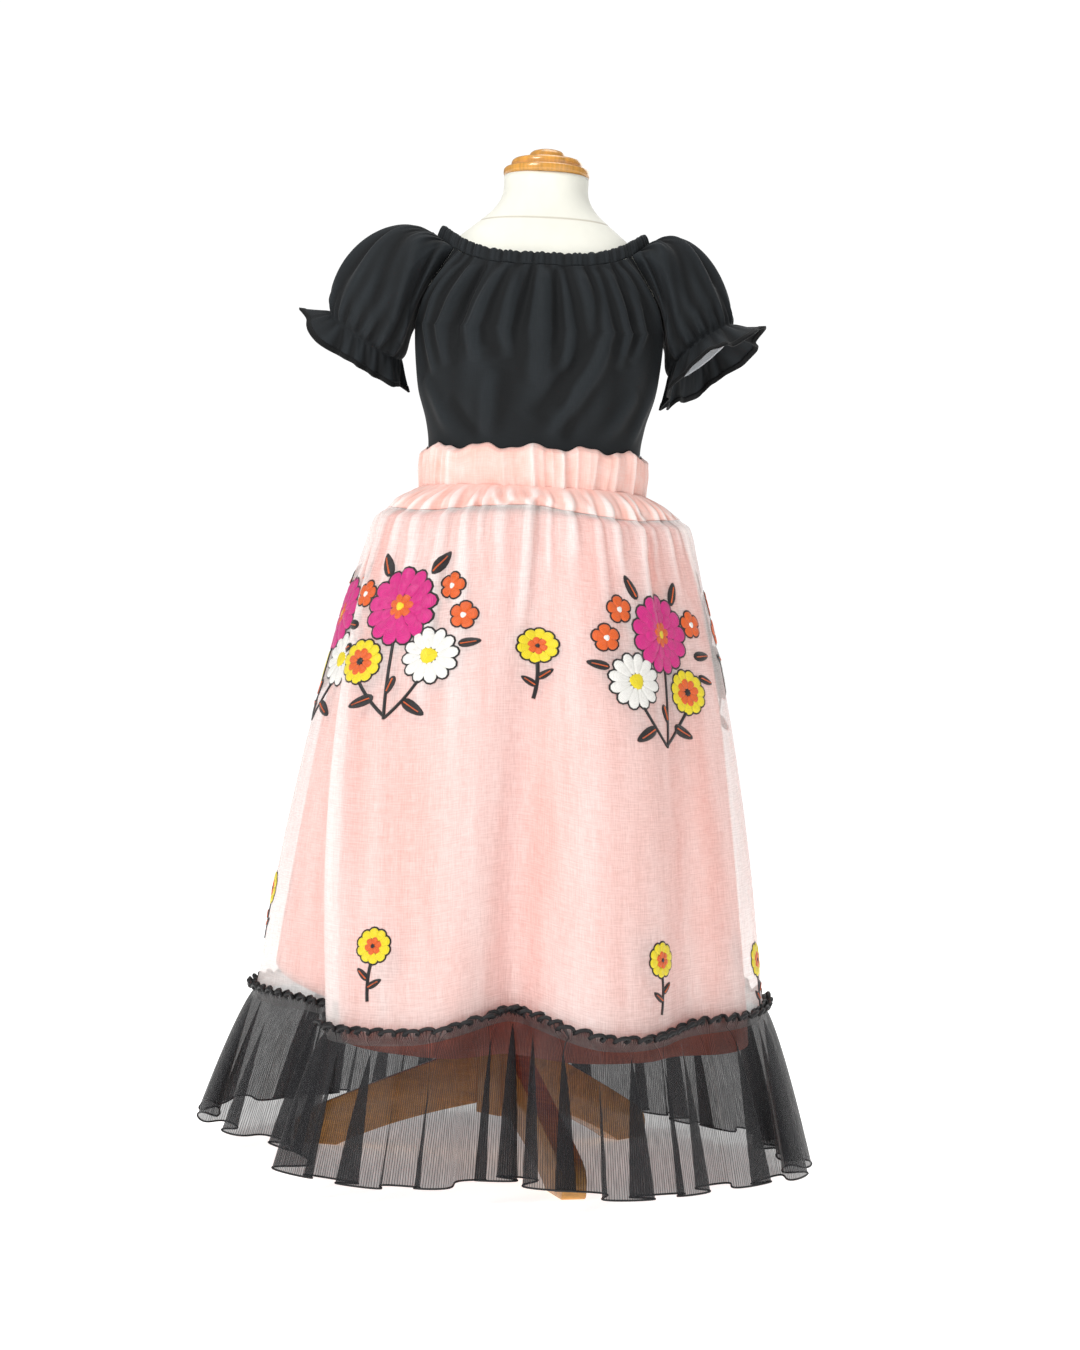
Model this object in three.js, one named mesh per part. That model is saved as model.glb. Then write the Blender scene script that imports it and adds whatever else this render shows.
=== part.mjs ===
// Girl's skirt and blouse set on a dress form: a black elastic-necked blouse with puff sleeves,
// a gauze skirt over a coral lining with a net ruffle, and the form and tripod that carry them.
// Millimetres, +Z up, front towards -Y, the form's axis at x = y = 0, the floor at z = 0.
import * as THREE from 'three';

// ---- driving dimensions -------------------------------------------------------------------
const SEAM_GAP = 0.3;
const CLOTH_SEAM = 0.44;
const COTTON_WALL = 1.6;
const GAUZE_WALL = 1.4;
const NET_WALL = 1.2;

const BLOUSE_BOTTOM = 784;
const UNDERARM_HEIGHT = 962;
const RAGLAN_ANGLE = THREE.MathUtils.degToRad(55);
const NECK_HALF_WIDTH = 118;
const NECK_FRONT_DEPTH = 93;
const NECK_BACK_DEPTH = 84;
const NECK_FRONT_HEIGHT = 1028;
const NECK_SHOULDER_HEIGHT = 1066;
const NECK_BACK_HEIGHT = 1046;
const CASING_HALF_HEIGHT = 7.5;
const CASING_HALF_THICKNESS = 2.6;
const CASING_LEAN = 0.35;
const CASING_GATHERS = 44;
const CASING_GATHER_DEPTH = 1.8;
const CASING_SEAM = 0.7;

const CUFF_GATHERS = 16;
const ELASTIC_WIDTH = 9;
const ELASTIC_WALL = 1.2;
const ELASTIC_CLEARANCE = 0.9;

const BAND_TOP = 819;
const BAND_BOTTOM = 770;
const BAND_WALL = 5;
const BAND_CLEARANCE = 0.7;
const BAND_GATHERS = 24;
const BAND_GATHER_DEPTH = 4.5;
const BAND_TOP_WAVE = 3;
const BAND_BELLY = 2;
const YOKE_BOTTOM = 745;
const YOKE_PUFF = 7;
const YOKE_CREASE = 2;
const SEAM_HEIGHT = 190;
const DEEP_FOLD_ANGLE = -44;
const DEEP_FOLD_REACH = 35;
const DEEP_FOLD_LEAN = 26;
const GAUZE_TUCK = 5;
const LINING_COLUMNS = 48;
const LINING_GAP = 17;
const LINING_RIDGE_SHARE = 0.55;
const LINING_YOKE_SEAM = 610;
const SKIRT_TOP_GATHERS = 22;
const SKIRT_GATHER_DEPTH = 5;
const SKIRT_GATHER_LENGTH = 90;
const RUFFLE_WAVES = 28;
const RUFFLE_WAVE_DEPTH = 17;
const HEADER_GATHERS = 42;
const HEADER_HEIGHT = 9;
const HEADER_DEPTH = 3.4;
const RUFFLE_FLARE = 46;
const RUFFLE_CLEARANCE = 1;

const CAP_BOTTOM = 1136;
const POLE_RADIUS = 14;
const TORSO_BOTTOM = 640;
const HUB_BOTTOM = 52;
const HUB_TOP = 132;
const HUB_FLAT_DISTANCE = 30;
const LEG_THICKNESS = 28;
const LEG_EDGE = 1.5;
const LEG_REACH = 248;
const LEG_ANGLES = [-71, 49, 169];
// A leg's board from the hub out: the arch under it, its rounded toe and the hollow of its back.
const LEG_OUTLINE = {
  rootBottom: 62, rootTop: HUB_TOP - 2, archReach: 130, archHeight: 36, heelReach: LEG_REACH - 52,
  toeRound: 6, toeLow: 8, toeHigh: 20, browReach: LEG_REACH - 4, browHeight: 34,
  backStart: LEG_REACH - 22, backStartHeight: 42, backReach: 140, backHeight: 84,
};

// ---- materials ----------------------------------------------------------------------------
const blackCotton = new THREE.MeshStandardMaterial({ color: '#17181a', roughness: 0.85 });
const whiteElastic = new THREE.MeshStandardMaterial({ color: '#c9ccd0', roughness: 0.8 });
const pinkGauze = new THREE.MeshStandardMaterial({ color: '#f3d3cd', roughness: 0.9 });
const coralLining = new THREE.MeshStandardMaterial({ color: '#ee8f78', roughness: 0.9 });
const blackNet = new THREE.MeshStandardMaterial({ color: '#26262a', roughness: 0.8 });
const creamCanvas = new THREE.MeshStandardMaterial({ color: '#e6e6dc', roughness: 0.9 });
const honeyWood = new THREE.MeshStandardMaterial({ color: '#b97a3c', roughness: 0.45 });

// ---- tables of sections -------------------------------------------------------------------
// Half widths and depths from the axis, in mm, at each height.
const TORSO_SECTIONS = [
  { z: TORSO_BOTTOM, half: 112, front: 84, back: 88 },
  { z: 665, half: 127, front: 95, back: 101 },
  { z: 715, half: 128, front: 95, back: 100 },
  { z: 768, half: 120.3, front: 88, back: 84.5 },
  { z: 824, half: 120.5, front: 88.3, back: 84.5 },
  { z: 870, half: 125, front: 91, back: 86 },
  { z: 940, half: 132, front: 98, back: 91 },
  { z: 1000, half: 131, front: 93, back: 87 },
  { z: 1035, half: 122, front: 81, back: 78 },
  { z: 1058, half: 103, front: 68, back: 68 },
  { z: 1078, half: 80, front: 57, back: 59 },
  { z: 1096, half: 60, front: 49, back: 51 },
  { z: 1114, half: 50, front: 45, back: 47 },
  { z: CAP_BOTTOM - SEAM_GAP, half: 49, front: 45, back: 46 },
];
const BLOUSE_SECTIONS = [
  { z: 770, half: 123, front: 91, back: 88 },
  { z: 824, half: 123, front: 91, back: 88 },
  { z: 850, half: 127, front: 95, back: 90 },
  { z: 885, half: 134, front: 100, back: 94 },
  { z: 925, half: 138.5, front: 104, back: 97 },
  { z: 965, half: 139.5, front: 104.5, back: 97 },
  { z: 1000, half: 137.5, front: 102, back: 94 },
  { z: 1040, half: 131, front: 95, back: 89 },
  { z: 1070, half: 121, front: 88, back: 83 },
];
const SKIRT_SECTIONS = [
  { z: 140, half: 297, front: 284, back: 274 },
  { z: 190, half: 292, front: 279, back: 268 },
  { z: 350, half: 271, front: 254, back: 244 },
  { z: 500, half: 244, front: 221, back: 213 },
  { z: 620, half: 216, front: 184, back: 180 },
  { z: 700, half: 190, front: 150, back: 150 },
  { z: 745, half: 169, front: 126, back: 126 },
];
// Soft vertical folds of the skirt. Angles in degrees from the front, positive to +X; spread is
// the fold's half width in degrees on its low-angle and high-angle side; depth is outwards.
const SKIRT_FOLDS = [
  { top: -64, hem: -39, spreadLow: 6, spreadHigh: 15, depthTop: 6, depthHem: 20 },
  { top: -75, hem: -49, spreadLow: 15, spreadHigh: 8, depthTop: -11, depthHem: -46 },
  { top: -20, hem: -19, spreadLow: 12, spreadHigh: 10, depthTop: 2, depthHem: 10 },
  { top: 4, hem: 1, spreadLow: 8, spreadHigh: 9, depthTop: -6, depthHem: -56 },
  { top: 26, hem: 22, spreadLow: 10, spreadHigh: 14, depthTop: 3, depthHem: 12 },
  { top: 52, hem: 46, spreadLow: 9, spreadHigh: 9, depthTop: -3, depthHem: -20 },
  { top: 72, hem: 66, spreadLow: 10, spreadHigh: 12, depthTop: 2, depthHem: 10 },
  { top: 98, hem: 96, spreadLow: 9, spreadHigh: 8, depthTop: -3, depthHem: -30 },
  { top: 132, hem: 128, spreadLow: 9, spreadHigh: 11, depthTop: -3, depthHem: -38 },
  { top: 168, hem: 166, spreadLow: 10, spreadHigh: 8, depthTop: -4, depthHem: -46 },
  { top: 206, hem: 204, spreadLow: 9, spreadHigh: 10, depthTop: -3, depthHem: -34 },
  { top: 240, hem: 243, spreadLow: 8, spreadHigh: 10, depthTop: -3, depthHem: -40 },
];
// Heights of the ruffle's seam, its hem and the lining's hem at each angle round the skirt.
const HEM_HEIGHTS = [
  { angle: -180, seam: 190, hem: 18, lining: 162 },
  { angle: -135, seam: 186, hem: 28, lining: 180 },
  { angle: -92, seam: 183, hem: 44, lining: 220 },
  { angle: -55, seam: 180, hem: 36, lining: 188 },
  { angle: -38, seam: 166, hem: 27, lining: 158 },
  { angle: -18, seam: 170, hem: 24, lining: 150 },
  { angle: 1, seam: 192, hem: 28, lining: 150 },
  { angle: 21, seam: 171, hem: 22, lining: 150 },
  { angle: 50, seam: 180, hem: 18, lining: 150 },
  { angle: 90, seam: 199, hem: 20, lining: 152 },
  { angle: 135, seam: 194, hem: 18, lining: 156 },
  { angle: 180, seam: 190, hem: 18, lining: 162 },
];
// Folds that fall from the neck casing: place across the panel (-1 to 1), half width across it,
// depth in mm and how far down they run (1 is the whole panel).
const FRONT_FOLDS = [
  { place: -0.86, spread: 0.10, depth: 5.5, reach: 0.75 },
  { place: -0.58, spread: 0.09, depth: 4.5, reach: 0.5 },
  { place: -0.30, spread: 0.11, depth: 6.5, reach: 0.9 },
  { place: 0.02, spread: 0.10, depth: 5, reach: 0.6 },
  { place: 0.30, spread: 0.09, depth: 6, reach: 0.85 },
  { place: 0.58, spread: 0.11, depth: 4.5, reach: 0.55 },
  { place: 0.86, spread: 0.10, depth: 5.5, reach: 0.7 },
];
const BACK_FOLDS = [
  { place: -0.80, spread: 0.11, depth: 5, reach: 0.7 },
  { place: -0.46, spread: 0.10, depth: 5.5, reach: 0.9 },
  { place: -0.12, spread: 0.11, depth: 4.5, reach: 0.6 },
  { place: 0.22, spread: 0.10, depth: 6, reach: 0.85 },
  { place: 0.54, spread: 0.11, depth: 4.5, reach: 0.55 },
  { place: 0.84, spread: 0.10, depth: 5, reach: 0.75 },
];
// The elastic ring of each cuff: centre, the direction of its outer end, its half widths, how
// much its back drops, and the height and width of the puff above it.
const SLEEVES = [
  {
    side: 1, name: 'right', centre: [188, 4, 944], rise: 0.62, half: 46, depth: 50, backDrop: 10,
    bulge: 22, lift: 40, headOut: 38, headUp: 44, frillTip: 50, frillFront: 44, frillBack: 22,
  },
  {
    side: -1, name: 'left', centre: [-201, 4, 945], rise: 0.52, half: 50, depth: 52, backDrop: -12,
    bulge: 30, lift: 42, headOut: 50, headUp: 46, frillTip: 62, frillFront: 14, frillBack: 34,
  },
];
// How far the sleeve's curve leaves its seam under the arm (sideways, round and down), how far it
// rises off the cuff there, and the depths of its long creases and of its gathers.
const UNDERARM_LEAVE = { out: 14, round: 20, down: 16 };
const UNDERARM_LIFT = 12;
const UNDERARM_BULGE = 5;
const SLEEVE_CREASE_DEPTH = 2.4;
const SLEEVE_GATHER_DEPTH = 2.2;
const SEAM_MITRE_LOW = UNDERARM_HEIGHT;
const SEAM_MITRE_HIGH = UNDERARM_HEIGHT + 18;
const FRILL_FLARE_UNDERARM = 12;
const FRILL_HANG = 0.9;
const FRILL_LENGTH = 35;
const FRILL_WAVE = 5;
const FRILL_WAVE_SHARE = 0.6;

// ---- curves worked out from the tables ----------------------------------------------------
function smoothstep(low, high, value) {
  const t = Math.min(1, Math.max(0, (value - low) / (high - low)));
  return t * t * (3 - 2 * t);
}

function mix(a, b, t) {
  return a + (b - a) * t;
}

// Reads one column of a table along its key column, as a smooth curve through the rows.
function along(table, key, column, at) {
  let row = 0;
  while (row < table.length - 2 && at > table[row + 1][key]) {
    row += 1;
  }
  const slope = (index) => {
    const before = table[Math.max(0, index - 1)];
    const after = table[Math.min(table.length - 1, index + 1)];
    return (after[column] - before[column]) / (after[key] - before[key]);
  };
  const start = table[row];
  const end = table[row + 1];
  const span = end[key] - start[key];
  const t = Math.min(1, Math.max(0, (at - start[key]) / span));
  const rise = end[column] - start[column];
  const straight = start[column] + rise * t;
  const bendStart = slope(row) * span - rise;
  const bendEnd = rise - slope(row + 1) * span;
  return straight + t * (1 - t) * (bendStart * (1 - t) + bendEnd * t);
}

function signedPower(value, power) {
  return Math.sign(value) * Math.abs(value) ** power;
}

// A point of a body-like section; squareness under 1 makes the section boxier than an ellipse.
function sectionPoint(table, angle, z, squareness = 1) {
  const depth = Math.cos(angle) > 0 ? 'front' : 'back';
  const x = along(table, 'z', 'half', z) * signedPower(Math.sin(angle), squareness);
  const y = -along(table, 'z', depth, z) * signedPower(Math.cos(angle), squareness);
  return new THREE.Vector3(x, y, z);
}

function outwards(angle) {
  return new THREE.Vector3(Math.sin(angle), -Math.cos(angle), 0);
}

const BODY_SQUARENESS = 0.9;

// ---- closed walls -------------------------------------------------------------------------
function geometryFrom(points, faces) {
  const geometry = new THREE.BufferGeometry();
  geometry.setAttribute('position', new THREE.Float32BufferAttribute(points.flat(), 3));
  geometry.setIndex(faces.flat());
  geometry.computeVertexNormals();
  return geometry;
}

// Joins two grids of points (outer[row][column], inner[row][column]) into one closed wall.
// Columns run so that the outer face looks outwards when rows go up and columns go by +X at
// the front. A ring closes on itself; a panel gets two more edge faces.
function wallBetween(outer, inner, isRing) {
  const rows = outer.length;
  const columns = outer[0].length;
  const points = [...outer.flat(), ...inner.flat()].map((p) => [p.x, p.y, p.z]);
  const at = (row, column, layer) => layer * rows * columns + row * columns + (column % columns);
  const faces = [];
  const quad = (a, b, c, d) => faces.push([a, b, c], [a, c, d]);
  const lastColumn = isRing ? columns : columns - 1;
  for (let row = 0; row < rows - 1; row += 1) {
    for (let column = 0; column < lastColumn; column += 1) {
      quad(at(row, column, 0), at(row, column + 1, 0), at(row + 1, column + 1, 0), at(row + 1, column, 0));
      quad(at(row, column, 1), at(row + 1, column, 1), at(row + 1, column + 1, 1), at(row, column + 1, 1));
    }
  }
  for (let column = 0; column < lastColumn; column += 1) {
    quad(at(0, column, 1), at(0, column + 1, 1), at(0, column + 1, 0), at(0, column, 0));
    const top = rows - 1;
    quad(at(top, column, 0), at(top, column + 1, 0), at(top, column + 1, 1), at(top, column, 1));
  }
  if (!isRing) {
    const end = columns - 1;
    for (let row = 0; row < rows - 1; row += 1) {
      quad(at(row, 0, 0), at(row + 1, 0, 0), at(row + 1, 0, 1), at(row, 0, 1));
      quad(at(row, end, 1), at(row + 1, end, 1), at(row + 1, end, 0), at(row, end, 0));
    }
  }
  return geometryFrom(points, faces);
}

// The normals of a grid of outer points, from its neighbours on each side.
function gridNormals(outer, isRing) {
  const rows = outer.length;
  const columns = outer[0].length;
  return outer.map((line, row) => line.map((point, column) => {
    const left = isRing ? (column + columns - 1) % columns : Math.max(0, column - 1);
    const right = isRing ? (column + 1) % columns : Math.min(columns - 1, column + 1);
    const across = new THREE.Vector3().subVectors(line[right], line[left]);
    const below = outer[Math.max(0, row - 1)][column];
    const above = outer[Math.min(rows - 1, row + 1)][column];
    return across.cross(new THREE.Vector3().subVectors(above, below)).normalize();
  }));
}

// Moves each outer point in by the wall's thickness, level with it, so that the wall's top and
// bottom edges stay at their own heights.
function levelInner(outer, thickness, isRing) {
  const normals = gridNormals(outer, isRing);
  return outer.map((line, row) => line.map((point, column) => {
    const normal = normals[row][column].setZ(0).normalize();
    return point.clone().addScaledVector(normal, -thickness);
  }));
}

// Part of a ring's columns as a panel, its two side edges drawn in by half a cloth seam.
function panelOfRing(grid, first, last) {
  const drawnIn = (edge, neighbour) => (
    edge.clone().addScaledVector(neighbour.clone().sub(edge).normalize(), CLOTH_SEAM / 2)
  );
  return grid.map((line) => {
    const part = Array.from({ length: last - first + 1 }, (_, step) => (
      line[(first + step + line.length) % line.length].clone()
    ));
    const end = part.length - 1;
    const start = drawnIn(part[0], part[1]);
    part[end] = drawnIn(part[end], part[end - 1]);
    part[0] = start;
    return part;
  });
}

function ringGrid(columns, levels, pointAt) {
  return levels.map((level, row) => Array.from({ length: columns }, (_, column) => (
    pointAt((column / columns) * 2 * Math.PI, level, row)
  )));
}

function panelGrid(columns, levels, pointAt) {
  return levels.map((level, row) => Array.from({ length: columns + 1 }, (_, column) => (
    pointAt(column / columns, level, row)
  )));
}

// A solid loft of closed sections, capped flat at both ends.
function solidLoft(sections) {
  const columns = sections[0].length;
  const points = sections.flat().map((p) => [p.x, p.y, p.z]);
  const faces = [];
  for (let row = 0; row < sections.length - 1; row += 1) {
    for (let column = 0; column < columns; column += 1) {
      const a = row * columns + column;
      const b = row * columns + ((column + 1) % columns);
      faces.push([a, b, b + columns], [a, b + columns, a + columns]);
    }
  }
  const bottom = points.length;
  points.push([0, 0, sections[0][0].z]);
  const top = points.length;
  points.push([0, 0, sections.at(-1)[0].z]);
  const lastRow = (sections.length - 1) * columns;
  for (let column = 0; column < columns; column += 1) {
    const next = (column + 1) % columns;
    faces.push([bottom, next, column], [top, lastRow + column, lastRow + next]);
  }
  return geometryFrom(points, faces);
}

const garment = new THREE.Group();

function addPiece(name, geometry, material) {
  const mesh = new THREE.Mesh(geometry, material);
  mesh.name = name;
  garment.add(mesh);
  return mesh;
}

// ---- dress form ---------------------------------------------------------------------------
function makeTorso() {
  const columns = 28;
  const sections = TORSO_SECTIONS.map(({ z }) => Array.from({ length: columns }, (_, column) => (
    sectionPoint(TORSO_SECTIONS, (column / columns) * 2 * Math.PI, z, BODY_SQUARENESS)
  )));
  addPiece('form_torso', solidLoft(sections), creamCanvas);
}

// Turned cap of three stacked rounds: a wide disc, a narrower one and a low dome.
function makeNeckCap() {
  const outline = [
    [0, 0], [47, 0], [50, 2.5], [50, 7.5], [47, 10], [40.5, 10.8], [41.5, 13], [41, 18],
    [37, 20.2], [22, 21.5], [21, 26], [17, 30], [9, 32.2], [0, 33],
  ].map(([radius, height]) => new THREE.Vector2(radius, height));
  const geometry = new THREE.LatheGeometry(outline, 28);
  geometry.rotateX(Math.PI / 2);
  const cap = addPiece('neck_cap', geometry, honeyWood);
  cap.position.z = CAP_BOTTOM;
}

function makeStand() {
  const hub = new THREE.CylinderGeometry(
    HUB_FLAT_DISTANCE / Math.cos(Math.PI / 6), HUB_FLAT_DISTANCE / Math.cos(Math.PI / 6),
    HUB_TOP - HUB_BOTTOM, 6,
  );
  hub.rotateX(Math.PI / 2);
  const hubMesh = addPiece('stand_hub', hub, honeyWood);
  hubMesh.position.z = (HUB_TOP + HUB_BOTTOM) / 2;
  hubMesh.rotation.z = THREE.MathUtils.degToRad(LEG_ANGLES[0]);

  const poleLength = TORSO_BOTTOM - HUB_TOP - 2 * SEAM_GAP;
  const pole = new THREE.CylinderGeometry(POLE_RADIUS, POLE_RADIUS, poleLength, 20);
  pole.rotateX(Math.PI / 2);
  const poleMesh = addPiece('stand_pole', pole, honeyWood);
  poleMesh.position.z = HUB_TOP + SEAM_GAP + poleLength / 2;

  const root = HUB_FLAT_DISTANCE + SEAM_GAP;
  const board = new THREE.Shape();
  const leg = LEG_OUTLINE;
  board.moveTo(root, leg.rootBottom);
  board.quadraticCurveTo(leg.archReach, leg.archHeight, leg.heelReach, 0);
  board.lineTo(LEG_REACH - leg.toeRound, 0);
  board.quadraticCurveTo(LEG_REACH, 0, LEG_REACH, leg.toeLow);
  board.lineTo(LEG_REACH, leg.toeHigh);
  board.quadraticCurveTo(leg.browReach, leg.browHeight, leg.backStart, leg.backStartHeight);
  board.quadraticCurveTo(leg.backReach, leg.backHeight, root, leg.rootTop);
  board.closePath();
  LEG_ANGLES.forEach((angle, index) => {
    const legGeometry = new THREE.ExtrudeGeometry(board, {
      depth: LEG_THICKNESS - 2 * LEG_EDGE, bevelEnabled: true, bevelSize: LEG_EDGE,
      bevelThickness: LEG_EDGE, bevelOffset: -LEG_EDGE, bevelSegments: 1, curveSegments: 5,
    });
    legGeometry.translate(0, 0, LEG_EDGE - LEG_THICKNESS / 2);
    legGeometry.rotateX(Math.PI / 2);
    const legMesh = addPiece(`stand_leg_${index + 1}`, legGeometry, honeyWood);
    legMesh.rotation.z = THREE.MathUtils.degToRad(angle);
  });
}

// ---- blouse -------------------------------------------------------------------------------
function neckPoint(angle) {
  const isFront = Math.cos(angle) > 0;
  const depth = isFront ? NECK_FRONT_DEPTH : NECK_BACK_DEPTH;
  const low = isFront ? NECK_FRONT_HEIGHT : NECK_BACK_HEIGHT;
  return new THREE.Vector3(
    NECK_HALF_WIDTH * signedPower(Math.sin(angle), BODY_SQUARENESS),
    -depth * signedPower(Math.cos(angle), BODY_SQUARENESS),
    mix(low, NECK_SHOULDER_HEIGHT, Math.abs(Math.sin(angle)) ** 3),
  );
}

// The casing leans in towards the neck; its height runs along this direction.
function casingUp(angle) {
  return outwards(angle).multiplyScalar(-CASING_LEAN).setZ(1).normalize();
}

function casingOut(angle) {
  return outwards(angle).setZ(CASING_LEAN).normalize();
}

// The edge that the panels and sleeves meet the casing along.
function neckEdge(angle) {
  return neckPoint(angle).addScaledVector(casingUp(angle), -CASING_HALF_HEIGHT - CASING_SEAM);
}

function makeNeckCasing() {
  const columns = CASING_GATHERS * 2;
  const section = [
    { up: -1, out: 0.45 }, { up: -0.55, out: 1 }, { up: 0.55, out: 1 },
    { up: 1, out: 0.3 }, { up: 0.5, out: -1 }, { up: -0.5, out: -1 }, { up: -1, out: -0.45 },
  ];
  const points = [];
  const faces = [];
  for (let column = 0; column < columns; column += 1) {
    const angle = (column / columns) * 2 * Math.PI;
    const puff = column % 2 === 0 ? CASING_GATHER_DEPTH : 0;
    for (const corner of section) {
      const isFace = Math.abs(corner.up) < 0.9;
      const out = corner.out * CASING_HALF_THICKNESS + (isFace && corner.out > 0 ? puff : 0);
      const point = neckPoint(angle)
        .addScaledVector(casingUp(angle), corner.up * CASING_HALF_HEIGHT)
        .addScaledVector(casingOut(angle), out);
      points.push([point.x, point.y, point.z]);
    }
  }
  const corners = section.length;
  for (let column = 0; column < columns; column += 1) {
    for (let corner = 0; corner < corners; corner += 1) {
      const next = (corner + 1) % corners;
      const a = column * corners + corner;
      const b = ((column + 1) % columns) * corners + corner;
      const c = ((column + 1) % columns) * corners + next;
      const d = column * corners + next;
      faces.push([a, b, c], [a, c, d]);
    }
  }
  addPiece('neckline_casing', geometryFrom(points, faces), blackCotton);
}

const PANEL_COLUMNS = 22;
const RAGLAN_STEPS = 4;
const SIDE_SEAM_HEIGHTS = [BLOUSE_BOTTOM, 824, 893];

// Level of a panel's row, 0 at the bottom hem and 1 at the neck edge. The side edge follows the
// side seam up to the underarm and the raglan seam above it.
function underarmLevel() {
  const top = neckEdge(RAGLAN_ANGLE).z;
  return (UNDERARM_HEIGHT - BLOUSE_BOTTOM) / (top - BLOUSE_BOTTOM);
}

function panelLevels() {
  const underarm = underarmLevel();
  const spread = neckEdge(RAGLAN_ANGLE).z - BLOUSE_BOTTOM;
  const levels = SIDE_SEAM_HEIGHTS.map((z) => (z - BLOUSE_BOTTOM) / spread);
  for (let step = 0; step <= RAGLAN_STEPS; step += 1) {
    levels.push(mix(underarm, 1, step / RAGLAN_STEPS));
  }
  return levels;
}

// A point of the front (facing 1) or back (facing -1) panel; across runs from -1 to 1.
function panelPoint(facing, across, level, folds) {
  const rise = Math.max(0, (level - underarmLevel()) / (1 - underarmLevel()));
  const sideAngle = Math.PI / 2 - 0.0015;
  const reach = mix(sideAngle, RAGLAN_ANGLE, rise ** 0.75) * across;
  const angleAt = (value) => (facing > 0 ? value : Math.PI - value);
  const topAngle = angleAt(RAGLAN_ANGLE * across);
  const top = neckEdge(topAngle);
  const z = mix(BLOUSE_BOTTOM, top.z, level);
  const angle = angleAt(reach);
  const point = sectionPoint(BLOUSE_SECTIONS, angle, z, BODY_SQUARENESS);
  const topOnBody = sectionPoint(BLOUSE_SECTIONS, topAngle, top.z, BODY_SQUARENESS);
  point.addScaledVector(top.sub(topOnBody), smoothstep(0.78, 1, level));
  let puff = 0;
  for (const fold of folds) {
    const spread = fold.spread * mix(1.25, 0.9, level);
    const shape = Math.exp(-(((across - fold.place) / spread) ** 2));
    const fade = smoothstep(0.16, 0.4, level) * (1 - smoothstep(0.93, 1, level) * 0.7);
    puff += fold.depth * shape * fade * smoothstep(1 - fold.reach - 0.25, 1 - fold.reach + 0.2, level);
  }
  const edge = 1 - smoothstep(0.9, 1, Math.abs(across));
  return point.addScaledVector(outwards(angle), puff * edge);
}

function makePanel(name, facing, folds) {
  const grid = panelGrid(PANEL_COLUMNS, panelLevels(), (u, level) => (
    panelPoint(facing, facing * (2 * u - 1), level, folds)
  ));
  // Radial inner offsets, so that the front, the back and the sleeves share one mitre.
  const inner = grid.map((line) => line.map((point) => {
    const inwards = new THREE.Vector3(-point.x, -point.y, 0).normalize();
    return point.clone().addScaledVector(inwards, COTTON_WALL);
  }));
  addPiece(name, wallBetween(grid, inner, false), blackCotton);
}

// The edge that a sleeve is sewn in along: up the front raglan seam from the underarm, over the
// shoulder along the neck edge, and down the back raglan seam.
function sleeveLoop(side) {
  const levels = panelLevels().slice(-RAGLAN_STEPS - 1);
  const front = levels.map((level) => panelPoint(1, side, level, FRONT_FOLDS));
  const back = levels.map((level) => panelPoint(-1, side, level, BACK_FOLDS)).reverse();
  const halved = (line) => line.slice(0, -1).flatMap((point, index) => (
    [point, point.clone().lerp(line[index + 1], 0.5)]
  ));
  const overSteps = 16;
  const over = Array.from({ length: overSteps }, (_, step) => (
    neckEdge(side * mix(RAGLAN_ANGLE, Math.PI - RAGLAN_ANGLE, step / overSteps))
  ));
  const loop = [...halved(front), ...over, ...halved(back)];
  return loop.map((point) => point.clone().setX(point.x + side * SEAM_GAP));
}

function sleeveFrame(sleeve) {
  const out = new THREE.Vector3(sleeve.side * Math.sqrt(1 - sleeve.rise ** 2), 0, sleeve.rise);
  const back = new THREE.Vector3(0, sleeve.depth, -sleeve.backDrop).normalize();
  const mouth = new THREE.Vector3().crossVectors(out, back).normalize();
  if (mouth.z > 0) {
    mouth.negate();
  }
  return { out, back, mouth, centre: new THREE.Vector3(...sleeve.centre) };
}

// A point of the elastic ring; turn 0 is under the arm, a quarter is the front.
function cuffPoint(sleeve, turn, growth = 0) {
  const frame = sleeveFrame(sleeve);
  return frame.centre.clone()
    .addScaledVector(frame.out, -Math.cos(turn) * (sleeve.half + growth))
    .addScaledVector(frame.back, -Math.sin(turn) * (sleeve.depth + growth));
}

// The frill turns from hanging straight down under the arm to standing out at the outer end.
function frillDirection(sleeve, turn) {
  const frame = sleeveFrame(sleeve);
  const radial = cuffPoint(sleeve, turn).sub(frame.centre).normalize();
  const outer = (1 - Math.cos(turn)) / 2;
  const frontness = Math.sin(turn);
  const middle = frontness > 0 ? sleeve.frillFront : sleeve.frillBack;
  const flare = mix(mix(FRILL_FLARE_UNDERARM, sleeve.frillTip, outer ** 3), middle, frontness ** 2);
  const tilt = THREE.MathUtils.degToRad(flare);
  const hang = FRILL_HANG * (1 - outer ** 4);
  const down = frame.mouth.clone().lerp(new THREE.Vector3(0, 0, -1), hang).normalize();
  return down.multiplyScalar(Math.cos(tilt)).addScaledVector(radial, Math.sin(tilt)).normalize();
}

const SLEEVE_ROWS = [0, 0.14, 0.32, 0.52, 0.72, 0.88, 1];

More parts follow.
